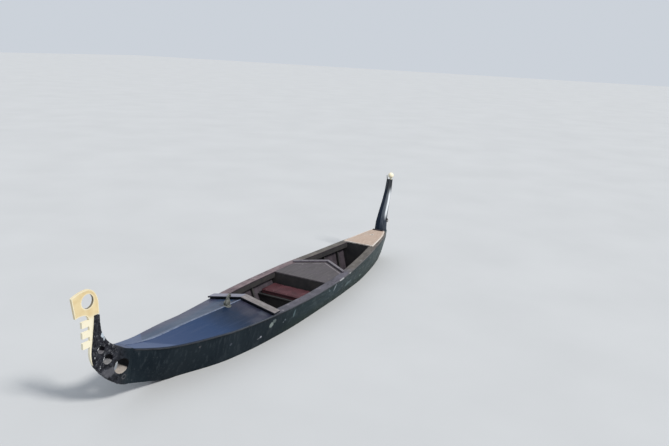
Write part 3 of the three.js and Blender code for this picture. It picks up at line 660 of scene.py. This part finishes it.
def dark_inside():
    f = Finish("dark_inside")
    grain = f.streaks(6, 60, 60)
    f.colour = f.fade(f.noise(6), (0.022, 0.022, 0.025), (0.05, 0.047, 0.046))
    f.lay((0.08, 0.07, 0.06), f.step(grain, 0.5, 0.8, 0.0, 0.4))
    return f.done(0.7, 0.3, grain)


def floor_wood():
    f = Finish("floor_wood")
    grain = f.streaks(5, 70, 70, 6, 0.65)
    f.colour = f.fade(grain, (0.06, 0.048, 0.04), (0.15, 0.125, 0.1))
    return f.done(0.75, 0.3, grain, 0.0015, 0.6)


def old_bronze():
    """Grey-green bronze, brighter where it stands out."""
    f = Finish("old_bronze")
    cloud = f.noise(45, 5, 0.65)
    f.colour = f.fade(cloud, (0.045, 0.048, 0.045), (0.13, 0.135, 0.12), 0.35, 0.7)
    raised = f.step(f.surface.outputs["Pointiness"], 0.5, 0.56)
    f.lay((0.33, 0.34, 0.31), raised, 0.8)
    f.set(Metallic=0.3)
    return f.done(0.5, 0.5, cloud, 0.0015, 0.6)


def dark_iron():
    f = Finish("dark_iron")
    cloud = f.noise(60)
    f.colour = f.fade(cloud, (0.009, 0.009, 0.011), (0.036, 0.026, 0.021), 0.35, 0.7)
    return f.done(0.55, 0.5, cloud, 0.001, 0.6)


LEATHER_CELLS = 260


def maroon_leather():
    """Dull dark red leather with fine creases between its cells."""
    f = Finish("maroon_leather")
    cloud = f.noise(9)
    f.colour = f.fade(cloud, (0.068, 0.022, 0.028), (0.11, 0.037, 0.045))
    feeds = {"Vector": f.place, "Scale": LEATHER_CELLS}
    cells = f.node("ShaderNodeTexVoronoi", feeds, feature="DISTANCE_TO_EDGE")
    crown = f.step(cells.outputs["Distance"], 0.0, 0.12)
    f.lay((0.03, 0.008, 0.01), f.math("SUBTRACT", 1.0, crown))
    height = f.math("ADD", crown, f.noise(14, 4))
    return f.done(f.step(cloud, 0.3, 0.7, 0.42, 0.58), 0.4, height, 0.0008, 0.7)


SLOT_FINISH = {
    "hull": hull_paint("hull_paint", True),
    "deck": deck_paint(),
    "cap": weathered_cap(),
    "iron": cream_paint("cream_paint", (0.6, 0.46, 0.24), (0.72, 0.6, 0.36), 0.5),
    "ply": bare_ply(),
    "inside": dark_inside(),
    "floor": floor_wood(),
    "ornament": old_bronze(),
    "ring": dark_iron(),
    "cushion": maroon_leather(),
}
STEM_FINISH = stem_paint()
RIDGE_FINISH = ridge_paint()
BALL_FINISH = cream_paint("ball_paint", (0.84, 0.74, 0.52), (0.92, 0.86, 0.68), 0.2)
NODE_FINISH = {
    "stern_block": hull_paint("block_paint", False),
    "stern_post": post_paint(),
    "mid_deck_bar": bar_paint(),
    "aft_deck_batten": tar_black(),
    "coaming_riser": riser_paint(),
}
PAIRS = {"coaming_plank": coaming_paint(), "gunwale_rail": gunwale_paint(), "side_deck": side_deck_paint()}
for name, paint in PAIRS.items():
    NODE_FINISH[name + "_port"] = NODE_FINISH[name + "_starboard"] = paint
SLOT_OF = {part["node"]: part["material_slot"] for part in frame["record"]["subparts"]}
# Rounding of the sharp edges
BEVELS = {"bow_iron": 0.005, "stern_post": 0.006, "stern_block": 0.006}
THIN_BEVEL = 0.003
SHARP = math.radians(28)


def soften(piece, width):
    """Rounds the sharp edges and smooths the shading across the flat ones."""
    weld = piece.modifiers.new("weld", "WELD")
    weld.merge_threshold = WELD_GAP
    bevel = piece.modifiers.new("bevel", "BEVEL")
    bevel.width = width
    bevel.segments = 2
    bevel.limit_method = "ANGLE"
    bevel.angle_limit = SHARP
    normals = piece.modifiers.new("normals", "WEIGHTED_NORMAL")
    normals.weight = 80


for name, node in NODES.items():
    node.data.materials.clear()
    node.data.materials.append(NODE_FINISH.get(name, SLOT_FINISH[SLOT_OF[name]]))
    soften(node, BEVELS.get(name, THIN_BEVEL))


# New pieces
def link(name, mesh, slot, material=None):
    """A smooth piece that rides on the boat, in its slot's finish or another."""
    piece = new_object(name, mesh)
    mesh.polygons.foreach_set("use_smooth", [True] * len(mesh.polygons))
    mesh.materials.append(material or SLOT_FINISH[slot])
    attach(piece, "root")
    return piece


def mesh_of(name, verts, faces):
    """A mesh whose faces all look outward."""
    mesh = bpy.data.meshes.new(name)
    mesh.from_pydata(verts, [], faces)
    work = bmesh.new()
    work.from_mesh(mesh)
    bmesh.ops.recalc_face_normals(work, faces=work.faces)
    work.to_mesh(mesh)
    work.free()
    mesh.update()
    return mesh


def welded(name):
    """A node's mesh with its loose seams closed."""
    work = bmesh.new()
    work.from_mesh(NODES[name].data)
    bmesh.ops.remove_doubles(work, verts=work.verts, dist=WELD_GAP)
    return work


def tree_of(mesh):
    """The mesh's faces, ready for rays and nearest points."""
    places = [v.co for v in mesh.vertices]
    return BVHTree.FromPolygons(places, [tuple(p.vertices) for p in mesh.polygons])


def evaluated(piece):
    """The piece's mesh with its modifiers applied; the piece goes."""
    done = bpy.data.meshes.new_from_object(piece.evaluated_get(bpy.context.evaluated_depsgraph_get()))
    bpy.data.objects.remove(piece)
    return done


def applied(mesh, kind, **settings):
    """A copy of the mesh with a modifier applied."""
    piece = new_object("work", mesh)
    made = piece.modifiers.new(kind.lower(), kind)
    for key, value in settings.items():
        setattr(made, key, value)
    return evaluated(piece)


def remeshed(mesh, voxel):
    return applied(mesh, "REMESH", mode="VOXEL", voxel_size=voxel)


def around(count):
    """Angles of points round a circle."""
    return [2 * math.pi * k / count for k in range(count)]


def walls(rows, size, ring=False):
    """Faces between closed rows of points; in a ring the last row joins the first."""
    faces = []
    for i in range(rows if ring else rows - 1):
        j = (i + 1) % rows
        for k in range(size):
            n = (k + 1) % size
            faces.append((i * size + k, i * size + n, j * size + n, j * size + k))
    return faces


def stack(rows, size):
    """Walls between closed rows of points, and a face at each end."""
    last = (rows - 1) * size
    return [*walls(rows, size), tuple(range(size - 1, -1, -1)), tuple(range(last, last + size))]


def tube(points, radii, sides, flat=1.0):
    """Ellipses round the points, flat times as wide across the boat, with closed ends."""
    verts = []
    last = len(points) - 1
    for i, point in enumerate(points):
        ahead = (points[min(i + 1, last)] - points[max(i - 1, 0)]).normalized()
        side = (PORT - ahead * PORT.dot(ahead)).normalized()
        up = ahead.cross(side)
        for turn in around(sides):
            verts.append(point + radii[i] * (flat * math.cos(turn) * side + math.sin(turn) * up))
    return verts, stack(len(points), sides)


def loop_tube(loop, radius, normal, sides):
    """A closed tube along a flat loop of points; normal stands on the loop's plane."""
    verts = []
    for i, point in enumerate(loop):
        ahead = (loop[(i + 1) % len(loop)] - loop[i - 1]).normalized()
        side = ahead.cross(normal).normalized()
        up = side.cross(ahead)
        for turn in around(sides):
            verts.append(point + radius * (math.cos(turn) * side + math.sin(turn) * up))
    return verts, walls(len(loop), sides, ring=True)


# A lathed outline stays this far off its axis
AXIS_GAP = 0.0004


def lathe(outline, centre, along, sides):
    """Turns (radius, height) points round an axis through the centre."""
    right = along.orthogonal().normalized()
    ahead = along.cross(right)
    verts = []
    for radius, height in outline:
        for turn in around(sides):
            spoke = math.cos(turn) * right + math.sin(turn) * ahead
            verts.append(centre + height * along + max(radius, AXIS_GAP) * spoke)
    return verts, stack(len(outline), sides)


def joined(parts):
    verts, faces = [], []
    for more_verts, more_faces in parts:
        start = len(verts)
        verts.extend(more_verts)
        faces.extend(tuple(start + i for i in face) for face in more_faces)
    return verts, faces


def smooth_path(points, steps):
    """Points on a Catmull-Rom curve through the given points."""
    ends = [points[0] * 2 - points[1], *points, points[-1] * 2 - points[-2]]
    path = []
    for i in range(1, len(ends) - 2):
        a, b, c, d = ends[i - 1:i + 3]
        for k in range(steps):
            t = k / steps
            bend = (2 * a - 5 * b + 4 * c - d) * t * t + (3 * b - a - 3 * c + d) * t ** 3
            path.append(0.5 * (2 * b + (c - a) * t + bend))
    return [*path, points[-1]]


# Stem's skin: depth of its root in the planks, its lumps, and the stretch over which they grow
ROOT_DEPTH = 0.006
ROOT_GAP = 0.0002
STEM_VOXEL = 0.006
LUMP_SIZE = 0.035
LUMP_HEIGHT = 0.009
LUMP_MIDDLE = 0.55
LUMPS_FROM = 2.93
LUMPS_OVER = 0.12


def stem_body():
    """The stem's own solid, with its flat root moved a little into the planks."""
    work = welded("stem_block")
    foot = min(v.co.x for v in work.verts)
    for v in work.verts:
        if v.co.x < foot + ROOT_GAP:
            v.co.x -= ROOT_DEPTH
    mesh = bpy.data.meshes.new("stem_skin")
    work.to_mesh(mesh)
    work.free()
    return mesh


def stem_skin():
    """The stem with rough, lumpy paint that fades out at the planks."""
    clouds = bpy.data.textures.new("stem_lumps", "CLOUDS")
    clouds.noise_scale = LUMP_SIZE
    clouds.noise_depth = 2
    plain = remeshed(stem_body(), STEM_VOXEL)
    lumpy = applied(plain, "DISPLACE", texture=clouds, texture_coords="LOCAL", strength=LUMP_HEIGHT,
                    mid_level=LUMP_MIDDLE)
    for still, moved in zip(plain.vertices, lumpy.vertices):
        share = min(1.0, max(0.0, (still.co.x - LUMPS_FROM) / LUMPS_OVER))
        moved.co = still.co.lerp(moved.co, share)
    piece = link("stem_skin", lumpy, "hull", STEM_FINISH)
    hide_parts("stem_block")


DECK_TREES = [tree_of(NODES[name].data) for name in ("foredeck_port", "foredeck_starboard")]
# Rays onto the deck start this high, and stay this far off the joint of its halves
RAY_HEIGHT = 2
JOINT_GAP = 0.001


def deck_height(x, y):
    """Top of the foredeck over a place in plan."""
    y = y if abs(y) > JOINT_GAP else JOINT_GAP
    hits = [tree.ray_cast(Vector((x, y, RAY_HEIGHT)), -UP)[0] for tree in DECK_TREES]
    return max(hit.z for hit in hits if hit)


# Bead on the ridge: its ends, half width and rise, then its taper, its blunt tip and the sink of its feet
BEAD_START, BEAD_END = 0.952, 2.868
BEAD_HALF, BEAD_RISE = 0.0085, 0.0055
BEAD_TAPER, BEAD_TIP, BEAD_SINK = 0.4, 0.03, 0.25


def ridge_bead():
    """Half round bead over the joint of the two deck halves."""
    verts = []
    count, sides = 60, 8
    for i in range(count + 1):
        x = BEAD_START + (BEAD_END - BEAD_START) * i / count
        half = BEAD_HALF * min(1.0, (BEAD_END + BEAD_TIP - x) / BEAD_TAPER)
        z = deck_height(x, 0)
        for k in range(sides + 1):
            turn = math.pi * k / sides
            lift = BEAD_RISE * math.sin(turn) - BEAD_SINK * half * abs(math.cos(turn))
            verts.append(Vector((x, half * math.cos(turn), z + lift)))
    mesh = mesh_of("ridge_bead", verts, stack(count + 1, sides + 1))
    link("ridge_bead", mesh, "deck", RIDGE_FINISH)


# Cast scroll on the ridge: the core's points in side view, from foot to tip
SCROLL_CORE = [(1.232, 0.722), (1.238, 0.752), (1.226, 0.788), (1.216, 0.82), (1.196, 0.844),
               (1.176, 0.844), (1.166, 0.83), (1.175, 0.82), (1.185, 0.825)]
# The core's radius at its foot, its loss towards the tip, and its ripple
CORE_RADIUS, CORE_TAPER, CORE_RIPPLE = 0.033, 0.026, 0.0015
# Ribs that fan out from the foot. Columns: foot x, belly x, tip x, tip z
SCROLL_RIBS = [(1.21, 1.202, 1.204, 0.818), (1.232, 1.23, 1.204, 0.838), (1.254, 1.26, 1.236, 0.806)]
RIB_FOOT_Z, RIB_BELLY_Z = 0.722, 0.762
RIB_RADIUS = 0.0085
COLLAR_X = 1.224
COLLAR_LOBES = 10
SCROLL_VOXEL = 0.0022
# Saddle foot: how far it stays inside the node's box, its crown, its edge and how deep it sinks in
SADDLE_INSET = Vector((0.01, 0.008, 0))
SADDLE_CROWN, SADDLE_EDGE, SADDLE_SINK = 0.007, 0.005, -0.003


def saddle_foot(low, high):
    """An oval cast foot that straddles the ridge and follows both slopes."""
    middle = (low + high) / 2
    rings, sides = 6, 28
    under, over = [], []
    for r in range(rings + 1):
        share = r / rings
        for turn in around(sides):
            x = middle.x + share * (high.x - low.x) / 2 * math.cos(turn)
            y = middle.y + share * (high.y - low.y) / 2 * math.sin(turn)
            z = deck_height(x, y)
            crown = SADDLE_CROWN * (1 - share ** 4) + SADDLE_EDGE
            under.append(Vector((x, y, z + SADDLE_SINK)))
            over.append(Vector((x, y, z + crown)))
    sheet = walls(rings + 1, sides)
    verts, faces = joined([(under, sheet), (over, [face[::-1] for face in sheet])])
    rim = rings * sides
    for k in range(sides):
        n = (k + 1) % sides
        faces.append((rim + k, rim + n, len(under) + rim + n, len(under) + rim + k))
    return verts, faces


def scroll_core():
    """A thick leaf that curls aft and thins towards its tip."""
    path = smooth_path([Vector((x, 0, z)) for x, z in SCROLL_CORE], 8)
    radii = []
    for i in range(len(path)):
        share = i / (len(path) - 1)
        ripple = CORE_RIPPLE * math.sin(6 * math.pi * share)
        radii.append(CORE_RADIUS - CORE_TAPER * share ** 0.8 + ripple)
    return tube(path, radii, 16, flat=0.62)


def scroll_rib(foot, belly, tip, top, side):
    """A raised rib that hugs one face of the core."""
    bend = [Vector((foot, side * 0.017, RIB_FOOT_Z)), Vector((belly, side * 0.0195, RIB_BELLY_Z)),
            Vector(((belly + tip) / 2, side * 0.014, (RIB_BELLY_Z + top) / 2)),
            Vector((tip, side * 0.008, top))]
    rib = smooth_path(bend, 6)
    radii = [RIB_RADIUS * math.sin(math.pi * (0.3 + 0.6 * k / (len(rib) - 1))) for k in range(len(rib))]
    return tube(rib, radii, 10)


def collar_lobe(turn):
    """A small lobe where the leaf springs from its foot."""
    base = Vector((COLLAR_X + 0.038 * math.cos(turn), 0.024 * math.sin(turn), 0.0))
    base.z = deck_height(base.x, base.y) + 0.01
    out = Vector((math.cos(turn), math.sin(turn), 0.5)).normalized()
    return tube([base - out * 0.006, base, base + out * 0.007], [0.006, 0.008, 0.004], 10)


def bow_scroll():
    """Upright cast leaf on a saddle foot, with raised ribs on each side."""
    low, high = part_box("bow_ornament")
    parts = [scroll_core()]
    parts.extend(scroll_rib(*row, side) for row in SCROLL_RIBS for side in (1, -1))
    parts.extend(collar_lobe(turn) for turn in around(COLLAR_LOBES))
    parts.append(saddle_foot(low + SADDLE_INSET, high - SADDLE_INSET))
    mesh = remeshed(mesh_of("bow_scroll", *joined(parts)), SCROLL_VOXEL)
    mesh = applied(mesh, "SMOOTH", factor=0.5, iterations=2)
    piece = link("bow_scroll", mesh, "ornament")
    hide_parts("bow_ornament")


# Neck under the ball. Columns: radius, height over its foot
NECK = [(0, 0), (0.018, 0), (0.019, 0.002), (0.0175, 0.005), (0.0155, 0.008), (0.0145, 0.013),
        (0.0165, 0.017)]
NECK_RADIUS = 0.018


def ball_finial():
    """Turned ball on a short neck with a collar and a bead."""
    low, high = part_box("stern_ball")
    radius = (high.x - low.x) / 2
    centre = Vector(((low.x + high.x) / 2, (low.y + high.y) / 2, high.z - radius))
    foot = low.z - centre.z
    outline = [(reach, foot + rise) for reach, rise in NECK]
    start = math.asin(NECK_RADIUS / radius)
    turns = 28
    for i in range(turns + 1):
        angle = start + (math.pi - start) * i / turns
        outline.append((radius * math.sin(angle), -radius * math.cos(angle)))
    mesh = mesh_of("ball_finial", *lathe(outline, centre, UP, 48))
    piece = link("ball_finial", mesh, "iron", BALL_FINISH)
    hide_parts("stern_ball")


def rounded_rectangle(low, high, corner, second):
    """Points round a rectangle with round corners, along the boat and along the second direction."""
    left, right = low.x + corner, high.x - corner
    under, over = low.dot(second) + corner, high.dot(second) - corner
    points = []
    count = 10
    for cx, cy, first in ((right, over, 0), (left, over, 1), (left, under, 2), (right, under, 3)):
        for k in range(count + 1):
            turn = math.pi / 2 * (first + k / count)
            spoke = Vector((math.cos(turn), 0, 0)) + math.sin(turn) * second
            points.append(Vector((cx, 0, 0)) + cy * second + corner * spoke)
    return points


# Ring on the post's side: its wire, and how far in from the node's outer face it hangs
RING_WIRE = 0.005
RING_DROP = 0.01
# Plate behind it: half width, lowest and highest z, corner, the places of its back and face
PLATE_HALF = 0.017
PLATE_LOW, PLATE_HIGH = 0.914, 0.95
PLATE_CORNER = 0.006
PLATE_BACK, PLATE_FACE = 0.0762, 0.092
PLATE_CHAMFER = 0.002


def ring_plate(centre_x):
    """A plate with round corners and a chamfered face."""
    low = Vector((centre_x - PLATE_HALF, 0, PLATE_LOW))
    high = Vector((centre_x + PLATE_HALF, 0, PLATE_HIGH))
    corners = rounded_rectangle(low, high, PLATE_CORNER, UP)
    depths = ((PLATE_BACK, 1.0), (PLATE_FACE - PLATE_CHAMFER, 1.0), (PLATE_FACE, 0.93))
    middle = (low + high) / 2
    verts = []
    for y, share in depths:
        for p in corners:
            flat = middle + share * (p - middle)
            verts.append(Vector((flat.x, y, flat.z)))
    mesh = mesh_of("ring_plate", verts, stack(len(depths), len(corners)))
    link("ring_plate", mesh, "ring")


def mooring_ring():
    """A ring that hangs from a domed pin with a collar, and the plate behind it."""
    low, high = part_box("stern_ring")
    centre_x = (low.x + high.x) / 2
    radius = (high.x - low.x) / 2 - RING_WIRE
    hang = low.z + RING_WIRE + radius
    loop = []
    for turn in around(48):
        x = centre_x + radius * math.cos(turn)
        loop.append(Vector((x, high.y - RING_DROP, hang + radius * math.sin(turn))))
    root, face = PLATE_FACE - 0.004, PLATE_FACE + 0.004
    pin = [(0, PLATE_FACE - 0.006), (0.0055, PLATE_FACE - 0.006), (0.0055, high.y - 0.007),
           (0.009, high.y - 0.006), (0.0085, high.y - 0.003), (0.005, high.y - 0.0008), (0, high.y)]
    collar = [(0, root), (0.013, root), (0.0125, PLATE_FACE + 0.002), (0.008, face), (0, face)]
    eye = Vector((centre_x, 0, hang + radius))
    parts = [loop_tube(loop, RING_WIRE, PORT, 12)]
    parts.extend(lathe(outline, eye, PORT, 20) for outline in (pin, collar))
    piece = link("mooring_ring", mesh_of("mooring_ring", *joined(parts)), "ring")
    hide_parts("stern_ring")
    ring_plate(centre_x)


# Cushions: room left round the node's block for the swelling, and the cloth's pressure and reach
PAD_ROOM_LOW = Vector((0.01, 0.01, 0.001))
PAD_ROOM_HIGH = Vector((0.01, 0.01, 0.01))
PAD_CORNER = 0.03
PAD_VOXEL, QUICK_VOXEL = 0.006, 0.008
PRESSURE = 4.0
SWELL_CAP = 0.016
CLOTH_FRAMES = 20
# Sewn channels along the boat: their places in the width, their depth, and the layer that they mark
CHANNELS = (0.25, 0.5, 0.75)
CHANNEL_SIZE = 0.009
CHANNEL_TOP = 0.02
# Piping: its radius, and how far its two loops lie from the pad's underside and top
PIPING_RADIUS = 0.0042
RIM_LOW, RIM_TOP = 0.007, 0.004


def swollen(mesh):
    """Cloth under inner pressure, with no point moved further than the cap."""
    rest = [v.co.copy() for v in mesh.vertices]
    piece = new_object("work", mesh)
    cloth = piece.modifiers.new("cloth", "CLOTH")
    cloth.settings.use_pressure = True
    cloth.settings.uniform_pressure_force = PRESSURE
    cloth.settings.effector_weights.gravity = 0
    cloth.point_cache.frame_start = 1
    cloth.point_cache.frame_end = CLOTH_FRAMES
    for step in range(1, CLOTH_FRAMES + 1):
        bpy.context.scene.frame_set(step)
    done = evaluated(piece)
    bpy.context.scene.frame_set(1)
    for v, start in zip(done.vertices, rest):
        move = v.co - start
        if move.length > SWELL_CAP:
            v.co = start + move * (SWELL_CAP / move.length)
    return done


def level_loop(low, high, z):
    return [Vector((p.x, p.y, z)) for p in rounded_rectangle(low, high, PAD_CORNER, PORT)]


def pad_of(name, low, high):
    """A block with round corners, swollen as cloth."""
    rings = [level_loop(low, high, z) for z in (low.z, (low.z + high.z) / 2, high.z)]
    verts = [p for ring in rings for p in ring]
    block = mesh_of(name, verts, stack(len(rings), len(rings[0])))
    return swollen(remeshed(block, PAD_VOXEL))


def sew(pad, low, high):
    """Presses the sewn channels into the pad's top and keeps its underside flat."""
    channels = [low.y + (high.y - low.y) * share for share in CHANNELS]
    for v in pad.vertices:
        if v.co.z > high.z - CHANNEL_TOP:
            nearest = min(abs(v.co.y - y) for y in channels)
            v.co.z -= CHANNEL_SIZE * math.exp(-(nearest / CHANNEL_SIZE) ** 2)
        v.co.z = max(v.co.z, low.z - 0.0005)


def piping(name, tree, low, high, z):
    """A thin round tube along one rim of the pad."""
    middle = (low + high) / 2
    loop = level_loop(low, high, z)
    loop = [tree.find_nearest(p + (p - middle).normalized() * 0.02)[0] for p in loop]
    loop = [Vector((p.x, p.y, 0.5 * (p.z + z))) for p in loop]
    mesh = mesh_of(name, *loop_tube(loop, PIPING_RADIUS, UP, 8))
    link(name, mesh, "cushion")


def cushion(node):
    """Boxed seat cushion: a swollen pad with sewn channels, and piping along its two rims."""
    low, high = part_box(node)
    low, high = low + PAD_ROOM_LOW, high - PAD_ROOM_HIGH
    pad = pad_of(node + "_pad", low, high)
    sew(pad, low, high)
    pad = applied(pad, "SUBSURF", levels=1, render_levels=1)
    name = node.replace("bench_cushion", "seat_pad")
    piece = link(name, pad, "cushion")
    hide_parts(node)
    tree = tree_of(pad)
    for label, z in (("low", low.z + RIM_LOW), ("top", high.z - RIM_TOP)):
        piping(name + "_piping_" + label, tree, low, high, z)


stem_skin()
ridge_bead()
bow_scroll()
ball_finial()
mooring_ring()
cushion("bench_cushion_fore")
cushion("bench_cushion_aft")

# Floor at the waterline, with a hole of the hull's shape
FLOOR_REACH = 120
SIDE_GAP = 0.001
END_GAP = 0.002
# Points further in than their neighbours are on the planks' inner faces
NEIGHBOURS = 0.07
INNER_STEP = 0.012


def hull_outline():
    """Half breadths of the hull at the floor's level, as (x, y) from aft to fore."""
    widest = {}
    for name in ("side_plank_port", "stern_block", "stem_block"):
        work = welded(name)
        whole = [*work.verts, *work.edges, *work.faces]
        cut = bmesh.ops.bisect_plane(work, geom=whole, plane_co=(0, 0, WATERLINE), plane_no=UP)
        for item in cut["geom_cut"]:
            if isinstance(item, bmesh.types.BMVert):
                key = round(item.co.x, 3)
                widest[key] = max(widest.get(key, 0), item.co.y)
        work.free()
    return [(x, widest[x]) for x in sorted(widest) if widest[x] > 0]


def hull_rim():
    """The outer points of the hull's outline, closed on the centre plane at both ends."""
    outline = hull_outline()
    kept = []
    for x, y in outline:
        near = [b for a, b in outline if abs(a - x) < NEIGHBOURS]
        if y > max(near) - INNER_STEP:
            kept.append((x, y))
    return [(kept[0][0] - END_GAP, 0.0), *kept, (kept[-1][0] + END_GAP, 0.0)]


def floor_mesh():
    """Strips from the rim out to both sides, and one sheet ahead and one astern."""
    rim = hull_rim()
    verts, faces = [], []
    for side in (1, -1):
        for x, y in rim:
            verts.append((x, side * (y + SIDE_GAP), WATERLINE))
            verts.append((x, side * FLOOR_REACH, WATERLINE))
    for s in (0, 1):
        for i in range(len(rim) - 1):
            a = 2 * (s * len(rim) + i)
            faces.append((a, a + 2, a + 3, a + 1) if s else (a, a + 1, a + 3, a + 2))
    for aft, fore in ((-FLOOR_REACH, rim[0][0]), (rim[-1][0], FLOOR_REACH)):
        start = len(verts)
        corners = ((aft, -FLOOR_REACH), (fore, -FLOOR_REACH), (fore, FLOOR_REACH), (aft, FLOOR_REACH))
        verts.extend((x, y, WATERLINE) for x, y in corners)
        faces.append((start, start + 1, start + 2, start + 3))
    return mesh_of("studio_floor", verts, faces)


def make_stage():
    floor = new_object("studio_floor", floor_mesh())
    f = Finish("studio_floor")
    pale = f.fade(f.noise(0.6, 3, 0.5), (0.5, 0.51, 0.52), (0.53, 0.54, 0.55))
    f.set(Base_Color=pale, Roughness=0.85)
    floor.data.materials.append(f.material)


# Studio light: a pale sky, and one broad soft lamp from high on the port side
SKY_COLOUR = (0.86, 0.92, 1.0, 1)
SKY_STRENGTH = 0.7
LAMP_FROM = Vector((0.1, 1.0, 1.1))
LAMP_ENERGY = 2.8
LAMP_BREADTH = math.radians(12)
LAMP_COLOUR = (1.0, 0.97, 0.92)


def make_light():
    world = bpy.data.worlds.new("studio")
    bpy.context.scene.world = world
    world.use_nodes = True
    background = world.node_tree.nodes["Background"]
    background.inputs["Color"].default_value = SKY_COLOUR
    background.inputs["Strength"].default_value = SKY_STRENGTH
    lamp = bpy.data.lights.new("key", "SUN")
    lamp.energy = LAMP_ENERGY
    lamp.angle = LAMP_BREADTH
    lamp.color = LAMP_COLOUR
    key = new_object("key", lamp)
    key.rotation_mode = "QUATERNION"
    key.rotation_quaternion = LAMP_FROM.normalized().to_track_quat("Z", "Y")
    bpy.context.scene.view_settings.view_transform = "Standard"


make_stage()
make_light()
